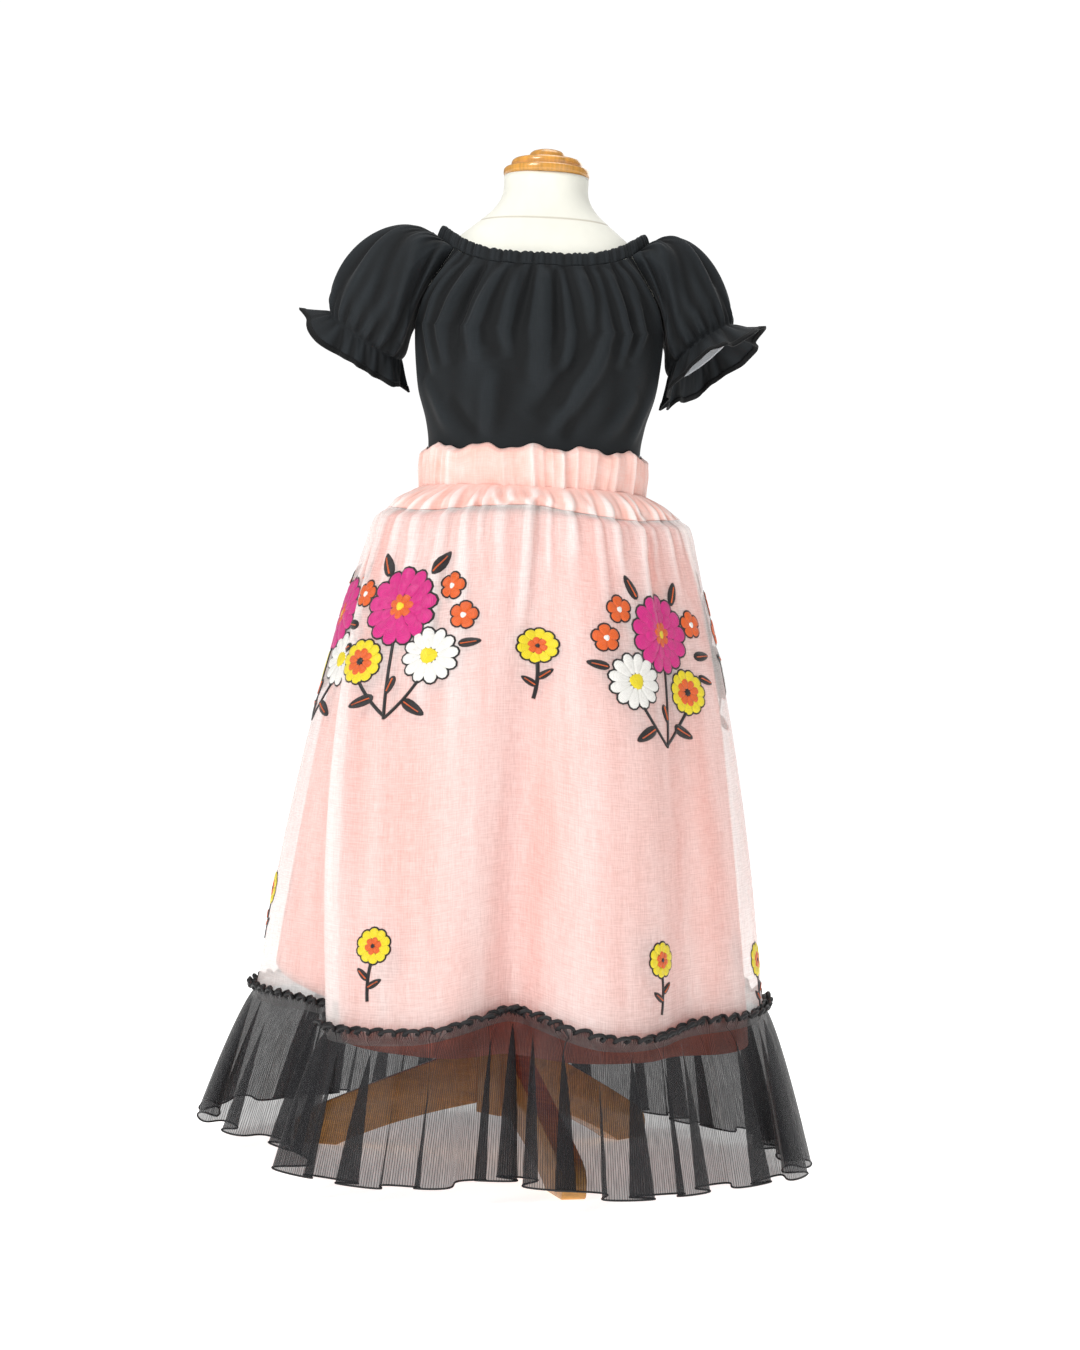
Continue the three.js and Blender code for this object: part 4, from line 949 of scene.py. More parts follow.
def make_varnished_wood(name, along_axis):
    # Pine or beech, turned or sawn, stained honey-brown and varnished: long grain under gloss.
    material, tree = new_material(name)
    place = object_place(tree)
    size = [3.5, 3.5, 3.5]
    size[along_axis] = 160
    grain = stretched_noise(tree, place, size, 4, 0.6)
    broad = stretched_noise(tree, place, [s * 5 for s in size], 2)
    mixed = maths(tree, "ADD", maths(tree, "MULTIPLY", grain, 0.6), maths(tree, "MULTIPLY", broad, 0.4))
    wood = palette().wood
    colour = blend_colours(tree, spread(tree, mixed, 0.35, 0.65), tone(wood, 0.72), tone(wood, 1.25))
    finish_material(
        tree, Base_Color=colour, Roughness=0.32, Coat_Weight=0.6, Coat_Roughness=0.12,
        Normal=bump(tree, grain, 0.08, 0.5),
    )
    return material


def make_stitching(name, hex_colour, dark):
    # Rayon embroidery thread in satin stitch: glossy parallel threads, drawn about four times too
    # coarse, to show.
    material, tree = new_material(name)
    place = cloth_place(tree)
    rows = ribs_across(tree, place, STITCH_PITCH)
    blur = stretched_noise(tree, place, (1.6, 9), 2)
    shade = maths(tree, "ADD", spread(tree, rows, -1, 1, 0, 0.6), spread(tree, blur, 0.3, 0.7, 0, 0.4))
    colour = blend_colours(tree, shade, linear(dark), linear(hex_colour))
    finish_material(
        tree, Base_Color=colour, Roughness=0.45, Specular_IOR_Level=0.45, Sheen_Weight=0.2,
        Normal=bump(tree, shade, 0.4, 0.8),
    )
    return material


_materials = {}
MAKERS = {
    "black_cotton": make_black_cotton,
    # The binding: the blouse's cotton at half brightness, painted shade for its rolled edge; with no Crest
    # it takes the troughs' painted-shade tone all over.
    "binding": lambda: make_black_cotton("black cotton binding", 0.5),
    "gauze": make_gauze,
    "doubled_gauze": make_doubled_gauze,
    "lining": make_coral_lining,
    "net": make_black_net,
    "thread": make_black_thread,
    "elastic": make_elastic,
    "canvas": make_canvas,
    "wood_upright": lambda: make_varnished_wood("varnished turned wood", 2),
    "wood_board": lambda: make_varnished_wood("varnished sawn wood", 0),
    "white_stitch": lambda: make_stitching("white satin stitch", "#fbfaf6", "#dcd9d2"),
    "yellow_stitch": lambda: make_stitching("yellow satin stitch", "#f4e41d", "#d9be10"),
    "magenta_stitch": lambda: make_stitching("magenta satin stitch", "#e3218b", "#b81470"),
    "orange_stitch": lambda: make_stitching("orange satin stitch", "#ee6a1e", "#c94c10"),
    "black_stitch": lambda: make_stitching("black satin stitch", "#1a191b", "#0c0b0d"),
}


def finish_of(name):
    if name not in _materials:
        _materials[name] = MAKERS[name]()
    return _materials[name]


# ---- the form and its stand ----------------------------------------------------------------
def spun(name, profile, steps):
    """A turned piece: its profile, radius and height in millimetres, spun about the Z axis."""
    mesh = bpy.data.meshes.new(name)
    mesh.from_pydata(
        [(radius * MM, 0, height * MM) for radius, height in profile],
        [(i, i + 1) for i in range(len(profile) - 1)], [],
    )
    piece = new_piece(mesh)
    select_only(piece)
    bpy.ops.object.mode_set(mode="EDIT")
    bpy.ops.mesh.select_all(action="SELECT")
    bpy.ops.mesh.spin(steps=steps, angle=TAU, center=(0, 0, 0), axis=(0, 0, 1))
    bpy.ops.mesh.select_all(action="SELECT")
    bpy.ops.mesh.remove_doubles(threshold=0.00002)
    bpy.ops.mesh.normals_make_consistent(inside=False)
    bpy.ops.object.mode_set(mode="OBJECT")
    return piece


def bevel_edges(piece, width):
    """Rounds a wooden piece's edges and shades it."""
    rounded = piece.modifiers.new("Rounded edges", "BEVEL")
    rounded.width = width * MM
    rounded.segments = 3
    rounded.limit_method = "ANGLE"
    rounded.angle_limit = math.radians(40)
    apply_modifiers(piece)
    bpy.ops.object.shade_smooth_by_angle(angle=math.radians(35))


def quadratic(start, corner, end, steps):
    """Points along a quadratic curve, without its start."""
    t = np.arange(1, steps + 1)[:, None] / steps
    start, corner, end = (np.array(spot, float) for spot in (start, corner, end))
    return start * (1 - t) ** 2 + 2 * corner * t * (1 - t) + end * t ** 2


def make_leg(number, turn):
    """One leg: a sawn board whose outline is filled and extruded sideways."""
    root, low_toe = (HUB_FLAT_DISTANCE + SEAM_GAP, 62), (LEG_REACH - 6, 0)
    brow, top = (LEG_REACH - 22, 42), (HUB_FLAT_DISTANCE + SEAM_GAP, HUB_TOP - 2)
    outline = np.concatenate([
        np.array([root], float), quadratic(root, (130, 36), (196, 0), 16), np.array([low_toe], float),
        quadratic(low_toe, (LEG_REACH, 0), (LEG_REACH, 8), 6), np.array([(LEG_REACH, 20)], float),
        quadratic((LEG_REACH, 20), (LEG_REACH - 4, 34), brow, 6), quadratic(brow, (140, 84), top, 16),
    ])
    half = LEG_THICKNESS / 2 * MM
    mesh = bpy.data.meshes.new(f"stand_leg_{number}_wood")
    mesh.from_pydata([(x * MM, half, z * MM) for x, z in outline], [], [list(range(len(outline)))])
    leg = new_piece(mesh)
    select_only(leg)
    bpy.ops.object.mode_set(mode="EDIT")
    bpy.ops.mesh.select_all(action="SELECT")
    bpy.ops.mesh.extrude_region_move(TRANSFORM_OT_translate={"value": (0, -2 * half, 0)})
    bpy.ops.mesh.select_all(action="SELECT")
    bpy.ops.mesh.normals_make_consistent(inside=False)
    bpy.ops.object.mode_set(mode="OBJECT")
    leg.rotation_euler = (0, 0, turn)
    bpy.ops.object.transform_apply(location=False, rotation=True, scale=False)
    bevel_edges(leg, 1.5)
    finish_piece(leg, finish_of("wood_board"), [f"stand_leg_{number}"])


def make_torso():
    """The canvas torso, with a fine groove for the seam round its neck."""
    near_seam = np.linspace(NECK_SEAM_HEIGHT - 7, NECK_SEAM_HEIGHT + 7, 22)
    levels = np.unique(np.concatenate([np.linspace(TORSO_BOTTOM, TORSO_TOP, 96), near_seam]))

    def place(angle, z):
        groove = -0.9 * np.exp(-(((z - NECK_SEAM_HEIGHT) / 1.1) ** 2))
        spot = section(TORSO_SECTIONS, angle, z, BODY_SQUARENESS)
        return spot + scaled(outwards(angle) + 0 * spot, groove)

    piece = grid_mesh("form_torso_canvas", round_grid(128, levels, place), is_ring=True)
    edit = bmesh.new()
    edit.from_mesh(piece.data)
    bmesh.ops.holes_fill(edit, edges=[edge for edge in edit.edges if edge.is_boundary])
    edit.to_mesh(piece.data)
    edit.free()
    finish_piece(piece, finish_of("canvas"), ["form_torso"])


def make_neck_cap():
    profile = [
        (0, 0), (46, 0), (48.2, 0.6), (49.6, 1.9), (50, 3.4), (50, 6.6), (49.6, 8), (48.4, 9.3),
        (46.5, 10), (42, 10.4), (40.7, 10.9), (40.6, 11.8), (41.3, 13), (41.5, 14.6), (41.2, 16.6),
        (40.2, 18.4), (38.4, 19.8), (36, 20.4), (25, 21), (22.6, 21.6), (21.8, 23), (21.2, 25.4),
        (19.6, 28.2), (17, 30.2), (12, 31.8), (6, 32.8), (0, 33),
    ]
    piece = spun("neck_cap_wood", [(r, CAP_BOTTOM + h) for r, h in profile], 96)
    select_only(piece)
    bpy.ops.object.shade_smooth_by_angle(angle=math.radians(50))
    finish_piece(piece, finish_of("wood_upright"), ["neck_cap"])


# ---- operators -----------------------------------------------------------------------------
def colour_property(name, description, hex_colour):
    return bpy.props.FloatVectorProperty(
        name=name, description=description, default=linear(hex_colour)[:3], size=3, min=0, max=1,
        subtype="COLOR",
    )


class FOLKSET_PG_sizes(bpy.types.PropertyGroup):
    """The sizes of the set that a user would change"""

    cotton: bpy.props.FloatProperty(
        name="Cotton thickness", description="Thickness of the blouse's cloth",
        default=0.0007, min=0.0002, max=0.0016, precision=4, unit="LENGTH",
    )
    band_gathers: bpy.props.IntProperty(
        name="Waistband gathers", description="Gathers round the waistband", default=24, min=8, max=40,
    )
    ruffle_wave: bpy.props.FloatProperty(
        name="Ruffle wave", description="Depth of the net ruffle's waves",
        default=0.016, min=0.004, max=0.02, precision=4, unit="LENGTH",
    )
    stitch_height: bpy.props.FloatProperty(
        name="Embroidery height", description="How far the satin stitch stands off the gauze",
        default=0.0011, min=0.0003, max=0.003, precision=4, unit="LENGTH",
    )


class FOLKSET_PG_colours(bpy.types.PropertyGroup):
    """The colours of the set that a user would change"""

    cotton: colour_property("Blouse", "Colour of the blouse's cotton", "#191d20")
    gauze: colour_property("Gauze", "Colour of the skirt's gauze", "#fbf7f4")
    lining: colour_property("Lining", "Colour of the skirt's lining", "#f48a70")
    net: colour_property("Net", "Colour of the hem's net", "#18181b")
    form: colour_property("Form", "Colour of the dress form's canvas", "#e9e8dd")
    wood: colour_property("Wood", "Colour of the varnished wood", "#cf9440")


class FOLKSET_OT_form(bpy.types.Operator):
    """Make the dress form's torso and its turned neck cap"""

    bl_idname = "folkset.form"
    bl_label = "Dress Form"

    def execute(self, context):
        make_torso()
        make_neck_cap()
        return {"FINISHED"}


class FOLKSET_OT_stand(bpy.types.Operator):
    """Make the wooden tripod that carries the form"""

    bl_idname = "folkset.stand"
    bl_label = "Wooden Stand"

    def execute(self, context):
        deselect_all()
        length = TORSO_BOTTOM - HUB_TOP - 2 * SEAM_GAP
        bpy.ops.mesh.primitive_cylinder_add(
            vertices=48, radius=POLE_RADIUS * MM, depth=length * MM,
            location=(0, 0, (HUB_TOP + SEAM_GAP + length / 2) * MM),
        )
        pole = context.object
        pole.name = pole.data.name = "stand_pole_wood"
        bpy.ops.object.transform_apply(location=True, rotation=False, scale=False)
        bpy.ops.object.shade_smooth_by_angle(angle=math.radians(40))
        finish_piece(pole, finish_of("wood_upright"), ["stand_pole"])
        deselect_all()
        bpy.ops.mesh.primitive_cylinder_add(
            vertices=6, radius=HUB_FLAT_DISTANCE / math.cos(math.pi / 6) * MM,
            depth=(HUB_TOP - HUB_BOTTOM) * MM, location=(0, 0, (HUB_TOP + HUB_BOTTOM) / 2 * MM),
            rotation=(0, 0, math.radians(LEG_ANGLES[0])),
        )
        hub = context.object
        hub.name = hub.data.name = "stand_hub_wood"
        bpy.ops.object.transform_apply(location=True, rotation=True, scale=False)
        bevel_edges(hub, 2)
        finish_piece(hub, finish_of("wood_upright"), ["stand_hub"])
        for index, angle in enumerate(LEG_ANGLES):
            make_leg(index + 1, math.radians(angle))
        return {"FINISHED"}


class FOLKSET_OT_casing(bpy.types.Operator):
    """Make the gathered elastic casing round the neck"""

    bl_idname = "folkset.casing"
    bl_label = "Neck Casing"

    def execute(self, context):
        sides = 14
        turn = np.arange(sides) / sides * TAU

        def place(angle, level):
            corner = turn[np.round(level).astype(int)]
            up = -signed_power(np.cos(corner), 0.7)
            out = signed_power(np.sin(corner), 0.6)
            puff = casing_gathers(angle) ** 0.7
            scallop = casing_scallops(angle)
            depth = CASING_HALF_THICKNESS * np.where(out > 0, 0.4 + 0.75 * puff + 0.5 * scallop, 1)
            height = CASING_HALF_HEIGHT * np.where(up > 0, 0.84 + 0.1 * puff + 0.2 * scallop, 1.16)
            return (
                neck_point(angle) + scaled(casing_up(angle), up * height)
                + scaled(casing_out(angle), out * depth)
            )

        columns = 990
        around = round_angles(columns)
        grid = round_grid(columns, np.arange(sides), place)
        # The crest: the cotton's finish paints light on the gathers' ridges and shade in their troughs.
        crest = 0.2 + 0.4 * casing_gathers(around) + 0.3 * casing_scallops(around)
        piece = grid_mesh("neckline_casing_cotton", grid, is_ring=True, is_tube=True, crest=crest)
        finish_piece(piece, finish_of("black_cotton"), ["neckline_casing"])
        return {"FINISHED"}


class FOLKSET_OT_panels(bpy.types.Operator):
    """Make the blouse's front and back"""

    bl_idname = "folkset.panels"
    bl_label = "Blouse Panels"

    def execute(self, context):
        levels = np.concatenate([
            np.linspace(0, UNDERARM_LEVEL, 60)[:-1], np.linspace(UNDERARM_LEVEL, 1, 48),
        ])
        for name, facing, folds, crease_rows in (
            ("front", 1, FRONT_FOLDS, FRONT_CREASES), ("back", -1, BACK_FOLDS, BACK_CREASES),
        ):
            grid = panel_grid(176, levels, lambda u, level: (
                panel_point(facing, facing * (2 * u - 1), level, folds, crease_rows)
            ))
            # The crest: the cotton's finish paints light on the folds' ridges and shade in their troughs.
            crest = np.clip(0.4 + ridge_heights(grid, 5) / 4.5, 0, 1)
            piece = grid_mesh(f"blouse_{name}_cotton", grid, crest=crest)
            thicken(piece, context.scene.folk_set_sizes.cotton / MM)
            finish_piece(piece, finish_of("black_cotton"), [f"blouse_{name}"])
        return {"FINISHED"}


class FOLKSET_OT_sleeves(bpy.types.Operator):
    """Make the two puff sleeves with their cuff frills"""

    bl_idname = "folkset.sleeves"
    bl_label = "Puff Sleeves"

    def execute(self, context):
        for name, sleeve in SLEEVES.items():
            form = SleeveFrame(sleeve)
            columns = 288
            place = (np.arange(columns) / columns)[None, :]
            puff = sleeve_point(form, place, np.linspace(0, 1, 56)[:, None])
            frill = frill_grid(form, place * TAU, np.linspace(0, 1, 16)[1:, None])
            bound = frill_grid(form, place * TAU, np.linspace(0.83, 1.01, 4)[:, None])
            facing = 1 if sleeve["side"] > 0 else -1
            grid = np.concatenate([puff, frill])[::-1, ::facing]
            # The crest: the cotton's finish paints light on the folds' ridges and shade in their troughs.
            crest = np.clip(0.42 + ridge_heights(grid, 7, True) / 6, 0, 1)
            piece = grid_mesh(f"sleeve_{name}_cotton", grid, is_ring=True, crest=crest)
            thicken(piece, context.scene.folk_set_sizes.cotton / MM)
            finish_piece(
                piece, finish_of("black_cotton"),
                [f"sleeve_{name}_front", f"sleeve_{name}_back", f"cuff_frill_{name}"],
            )
            edge = grid_mesh(f"cuff_binding_{name}", bound[::-1, ::facing], is_ring=True)
            thicken(edge, BINDING_THICKNESS, offset=-0.4)
            finish_piece(edge, finish_of("binding"))
        return {"FINISHED"}


class FOLKSET_OT_elastics(bpy.types.Operator):
    """Make the woven elastics inside the cuffs"""

    bl_idname = "folkset.elastics"
    bl_label = "Cuff Elastics"

    def execute(self, context):
        for name, sleeve in SLEEVES.items():
            form = SleeveFrame(sleeve)
            turn = round_angles(192) * sleeve["side"]
            inset = 0.5 * np.cos(16 * turn) - ELASTIC_INSET
            heights = np.linspace(ELASTIC_HALF_WIDTH, -ELASTIC_HALF_WIDTH, 7)
            outer = form.cuff(turn, inset) + form.mouth * heights[:, None, None]
            inner = form.cuff(turn, inset - ELASTIC_THICKNESS) + form.mouth * heights[::-1, None, None]
            piece = grid_mesh(
                f"cuff_elastic_{name}_woven", np.concatenate([outer, inner]), is_ring=True, is_tube=True,
            )
            finish_piece(piece, finish_of("elastic"), [f"cuff_elastic_{name}"])
        return {"FINISHED"}


class FOLKSET_OT_waistband(bpy.types.Operator):
    """Make the gathered elastic waistband"""

    bl_idname = "folkset.waistband"
    bl_label = "Waistband"

    def execute(self, context):
        gathers = context.scene.folk_set_sizes.band_gathers

        def gather(angle, level):
            """The broad and the narrow gathers, each from 0 to 1."""
            slant = np.sin(3 * angle + 2) * (level - 0.5)
            phase = gathers * angle + 0.9 * np.sin(2 * angle) + 0.7 * np.sin(5 * angle) + 0.8 * slant
            broad = 1 - np.abs(np.sin(phase / 2)) ** 0.8
            second = 29 * angle + 1.6 * np.sin(7 * angle) + 1.3 * np.sin(4 * angle) + 1.6 * slant
            narrow = (1 - np.abs(np.sin(second))) ** 1.2
            return broad * (0.75 + 0.25 * np.sin(7 * angle + 1)), narrow * (0.6 + 0.4 * np.sin(5 * angle))

        def top_at(angle):
            wave = 3 * np.cos(gathers * angle * 0.5 + np.sin(3 * angle))
            return BAND_TOP - 3 + wave + 1.2 * np.cos(31 * angle + np.sin(4 * angle))

        def on_blouse(angle, z, out):
            place = section(BLOUSE_SECTIONS, angle, BAND_BOTTOM + 0 * z, BODY_SQUARENESS)
            place[..., 2] = z
            return place + scaled(outwards(angle) + 0 * place, out)

        def outer(angle, level):
            z = mix(BAND_BOTTOM, top_at(angle), level)
            broad, narrow = gather(angle, level)
            depth = mix(0.85, 1, level) * (6.4 * broad + 3.4 * narrow)
            ends = 1 - smooth(0.88, 1, level) * 0.8
            belly = 1.5 * np.sin(np.pi * level)
            return on_blouse(angle, z, (BAND_WALL - 0.6 + depth + belly) * ends)

        def inner(angle, level):
            return on_blouse(angle, mix(BAND_BOTTOM, top_at(angle) - 1, level), 0.9 + 0 * level)

        columns, inner_rows = 624, 5
        levels = np.linspace(0, 1, 24)
        grid = np.concatenate([
            round_grid(columns, levels, outer),
            round_grid(columns, np.linspace(1, 0, inner_rows), inner),
        ])
        # The crest: the doubled gauze's finish paints the gathers' ridges whiter, as painted light.
        broad, narrow = gather(round_angles(columns), levels[:, None])
        crest = np.concatenate([
            np.clip(broad ** 3 + 0.7 * narrow ** 3, 0, 1), np.zeros((inner_rows, columns)),
        ])
        piece = grid_mesh("skirt_waistband_gauze", grid, is_ring=True, is_tube=True, crest=crest)
        finish_piece(piece, finish_of("doubled_gauze"), ["skirt_waistband"])
        return {"FINISHED"}


class FOLKSET_OT_yoke(bpy.types.Operator):
    """Make the puffed yoke between the waistband and the skirt"""

    bl_idname = "folkset.yoke"
    bl_label = "Hip Yoke"

    def execute(self, context):
        def puffs(angle, level):
            """The broad and the small puffs, each from 0 to 1."""
            phase = 11 * angle + 1.1 * np.sin(3 * angle + 0.4) + 0.8 * np.sin(5 * angle)
            phase = phase + 1.5 * (level - 0.5) * np.sin(4 * angle + 1)
            small = 25 * angle + 1.5 * np.sin(6 * angle) + 2.2 * (level - 0.5) * np.cos(3 * angle)
            return np.abs(np.sin(phase)) ** 0.7, np.abs(np.sin(small)) ** 0.8

        def place(angle, level):
            low = skirt_point(angle, yoke_seam(angle) + 0 * level, 0.2)
            high = section(BLOUSE_SECTIONS, angle, BAND_BOTTOM + 0 * level, BODY_SQUARENESS)
            high = high + scaled(outwards(angle) + 0 * high, BAND_WALL + 1)
            broad, small = puffs(angle, level)
            spot = mix(low, high, (level ** 0.95)[..., None] + 0 * low)
            spot[..., 2] = mix(yoke_seam(angle), BAND_BOTTOM + 2, level)
            swell = np.sin(np.pi * level ** 0.9)
            rise = YOKE_PUFF * (0.15 + 0.85 * broad) + 3.4 * (small - 0.5)
            return spot + scaled(outwards(angle) + 0 * spot, rise * swell)

        grid = round_grid(528, np.linspace(0, 1, 22), place)
        # The crest: the doubled gauze's finish paints the puffs' ridges whiter, as painted light.
        crest = np.clip(ridge_heights(grid, 5, True) / 2.2, 0, 1)
        piece = grid_mesh("skirt_yoke_gauze", grid, is_ring=True, crest=crest)
        thicken(piece, YOKE_THICKNESS)
        finish_piece(piece, finish_of("doubled_gauze"), ["skirt_yoke"])
        return {"FINISHED"}


class FOLKSET_OT_gauze(bpy.types.Operator):
    """Make the skirt's gauze front and back"""

    bl_idname = "folkset.gauze"
    bl_label = "Gauze Panels"

    def execute(self, context):
        for name, facing in (("front", 1), ("back", -1)):
            start = -math.pi / 2 if facing > 0 else math.pi / 2

            def place(u, level):
                angle = start + mix(0.0008, math.pi - 0.0008, u)
                top = yoke_seam(lean_with_fold(angle, YOKE_BOTTOM))
                z = mix(hem_height("seam", angle) - GAUZE_TUCK, top - SEAM_GAP, level)
                return skirt_point(lean_with_fold(angle, z), z)

            levels = 1 - np.linspace(1, 0, 120) ** 1.35
            grid = panel_grid(320, levels, place)
            # The crest: the gauze's finish paints the folds' ridges whiter, as painted light.
            crest = np.clip((ridge_heights(grid, 5) - 0.3) / 2.6, 0, 1)
            piece = grid_mesh(f"skirt_{name}_gauze", grid, crest=crest)
            finish_piece(piece, finish_of("gauze"), [f"skirt_{name}"])
        return {"FINISHED"}


class FOLKSET_OT_lining(bpy.types.Operator):
    """Make the coral lining"""

    bl_idname = "folkset.lining"
    bl_label = "Lining"

    def execute(self, context):
        def place(angle, level):
            z = mix(hem_height("lining", angle), YOKE_BOTTOM - 1, level)
            turned = lean_with_fold(angle, z)
            fold = folds_at(np.degrees(turned), z)
            gathers = top_gathers(turned, z) + seam_gathers(np.degrees(turned), z)
            follow = np.minimum(0, fold) + np.maximum(0, fold) * 0.55 + 1.25 * np.minimum(0, gathers)
            gap = mix(3.2, LINING_GAP, 1 - smooth(300, YOKE_BOTTOM, z))
            spot = section(SKIRT_SECTIONS, turned, z)
            return spot + scaled(outwards(turned), follow - gap - 1.3 * seam_tuck(turned, z))

        grid = round_grid(320, np.linspace(0, 1, 52), place)
        piece = grid_mesh("skirt_lining_cloth", grid, is_ring=True)
        thicken(piece, LINING_THICKNESS)
        finish_piece(piece, finish_of("lining"), LINING_NODES)
        return {"FINISHED"}


class FOLKSET_OT_ruffle(bpy.types.Operator):
    """Make the net ruffle with its curled header and overlocked edges"""

    bl_idname = "folkset.ruffle"
    bl_label = "Net Ruffle"

    def execute(self, context):
        depth = context.scene.folk_set_sizes.ruffle_wave / MM

        def body(angle, drop):
            """The ruffle below its seam; the cloth doubles back sideways between its waves."""
            seam = hem_height("seam", angle)
            z = mix(seam, hem_height("hem", angle), drop)
            phase = ruffle_phase(angle)
            size = 0.82 + 0.18 * np.sin(5 * angle + 1)
            wave = depth * np.cos(phase) * size * drop ** 0.6
            fold = RUFFLE_FOLD_SHARE * ruffle_wavelength(angle) * np.sin(2 * phase)
            fold = fold * (1 + 0.3 * np.sin(7 * angle) + 0.2 * np.sin(13 * angle + 1))
            side = (fold + 2.5 * np.sin(phase + 3 * np.sin(2 * angle))) * drop ** 0.45
            spot = off_gauze(angle, seam + 0 * drop, RUFFLE_CLEARANCE)
            spot = spot + scaled(outwards(angle) + 0 * spot, RUFFLE_FLARE * drop ** 0.85 + wave)
            spot = spot + scaled(sideways(angle) + 0 * spot, side)
            spot[..., 2] = z
            return spot

        def header(angle, level):
            """The free edge above the seam, curled into loops."""
            seam = hem_height("seam", angle)
            phase = HEADER_LOOPS * angle + 2.6 * np.sin(6 * angle) + 1.5 * np.sin(11 * angle)
            curl = (0.5 + 0.5 * np.cos(phase)) * level
            height = HEADER_HEIGHT * level * (1.05 + 0.3 * np.sin(2 * phase + 1) + 0.15 * np.sin(9 * angle))
            out = RUFFLE_CLEARANCE + 0.4 + HEADER_LOOP_DEPTH * curl
            spot = off_gauze(angle, seam + height, out)
            drift = 2 * np.sin(37 * angle + 3 * np.sin(5 * angle))
            side = (HEADER_LOOP_SIDE * np.sin(2 * phase) + drift) * level
            return spot + scaled(sideways(angle) + 0 * spot, side)

        columns = RUFFLE_WAVES * 48
        drops = np.linspace(1, 0, 34)
        grid = np.concatenate([
            round_grid(columns, drops, body), round_grid(columns, np.linspace(0, 1, 6)[1:], header),
        ])
        piece = grid_mesh("hem_ruffle_net", grid, is_ring=True)
        finish_piece(piece, finish_of("net"), ["hem_ruffle"])
        for name, row, radius in (
            ("hem", grid[0], HEM_CORD_RADIUS), ("header", grid[-1], HEADER_CORD_RADIUS),
        ):
            cord = cord_grid(row, np.array([0, 0, 1.0]), radius)
            edge = grid_mesh(f"ruffle_{name}_overlock", cord[::-1], is_ring=True, is_tube=True)
            finish_piece(edge, finish_of("thread"))
        return {"FINISHED"}


class Stitchery:
    """Raised satin-stitch shapes laid on the skirt, gathered by colour."""

    def __init__(self, height):
        self.height = height
        self.shapes = {}

    def lay(self, colour, sprig, places, rings, closed):
        """Adds a grid of places (rows of across, up and lift), the last row its middle."""
        angle = sprig.angle + places[..., 0] / sprig.radius
        spots = skirt_point(angle, sprig.height + places[..., 1], places[..., 2])
        self.shapes.setdefault(colour, []).append((spots, rings, closed))

    def shape(self, colour, sprig, outline, layer, edge=1.5):
        """A padded shape with a black edge; its outline is in millimetres on the cloth."""
        outline = outline * sprig.flip
        middle = outline.mean(axis=0)
        tangent = np.roll(outline, -1, axis=0) - np.roll(outline, 1, axis=0)
        normal = unit(np.stack([tangent[:, 1], -tangent[:, 0]], axis=-1)) * sprig.flip[0]
        low = STITCH_CLEARANCE + LAYER_HEIGHT * layer
        along_it = np.linalg.norm(outline - outline[0], axis=-1)
        thread = np.stack([along_it, outline @ np.array([0.3, 1.0])], axis=-1)

        def ring(points, share, lift):
            placed = middle + (points - middle) * share
            return np.concatenate([placed, np.full((len(points), 1), lift)], axis=-1)

        top = [
            ring(outline, 1, low), ring(outline, 0.84, low + self.height),
            ring(outline, 0.42, low + 1.2 * self.height), ring(outline, 0.02, low + 1.25 * self.height),
        ]
        self.lay(colour, sprig, np.array(top), thread, True)
        if edge:
            rim = outline + normal * edge
            border = [
                ring(rim, 1, low - 0.1), ring(outline, 0.98, low + 0.25 * self.height),
                ring(outline, 0.7, low - 0.1),
            ]
            self.lay("black_stitch", sprig, np.array(border), thread, True)

    def strip(self, colour, sprig, path, width, layer=0):
        """A padded line along a path."""
        path = path * sprig.flip
        tangent = unit(np.gradient(path, axis=0))
        side = np.stack([tangent[:, 1], -tangent[:, 0]], axis=-1) * sprig.flip[0]
        low = STITCH_CLEARANCE + LAYER_HEIGHT * layer
        rows = [(-0.5, low), (-0.3, low + self.height), (0.3, low + self.height), (0.5, low)]
        grid = np.array([
            np.concatenate([path + side * share * width, np.full((len(path), 1), lift)], axis=-1)
            for share, lift in rows
        ])[::-1]
        thread = np.stack([np.linspace(0, 40, len(path)), np.zeros(len(path))], axis=-1)
        self.lay(colour, sprig, grid, thread, False)

    def build(self, colour):
        """One mesh of all the shapes of a colour, its map following their threads."""
        spots, faces, places, first = [], [], [], 0
        for grid, thread, closed in self.shapes[colour]:
            rows, columns = grid.shape[:2]
            index = first + np.arange(rows * columns).reshape(rows, columns)
            following = np.roll(index, -1, axis=1) if closed else index[:, 1:]
            here = index if closed else index[:, :-1]
            quads = np.stack([here[:-1], following[:-1], following[1:], here[1:]], axis=-1)
            faces.append(quads.reshape(-1, 4))
            spots.append(grid.reshape(-1, 3))
            spread_out = np.linspace(1, 0, rows)[:, None, None]
            places.append((thread[None] * (0.4 + 0.6 * spread_out)).reshape(-1, 2))
            first += rows * columns
        faces = np.concatenate(faces)
        mesh = bpy.data.meshes.new(f"embroidery_{colour}")
        mesh.from_pydata((np.concatenate(spots) * MM).tolist(), [], faces.tolist())
        lay_out(mesh, np.concatenate(places)[faces.ravel()] * MM)
        mesh.shade_smooth()
        return new_piece(mesh)


class Sprig:
    """Where a bunch of embroidery sits: its angle and height on the skirt and its handedness."""

    def __init__(self, degrees, height, mirrored=False):
        self.angle = math.radians(degrees)
        self.height = height
        self.radius = float(np.linalg.norm(skirt_point(np.array(self.angle), np.array(height))[:2]))
        self.flip = np.array([-1.0 if mirrored else 1.0, 1.0])


def petal(root, tip, width, direction, centre=(0, 0), lean=0.35, steps=14):
    """A petal's outline, anticlockwise: from its root's distance to its tip's."""
    turn = -np.arange(steps) / steps * TAU
    length = tip - root
    out = root + length * (0.5 - 0.5 * np.cos(turn))
    across = -width / 2 * np.sin(turn) * (1 - lean + 2 * lean * (out - root) / length)
    cosine, sine = math.cos(direction), math.sin(direction)
    x = centre[0] + out * cosine + across * sine
    y = centre[1] + out * sine - across * cosine
    return np.stack([x, y], axis=-1)


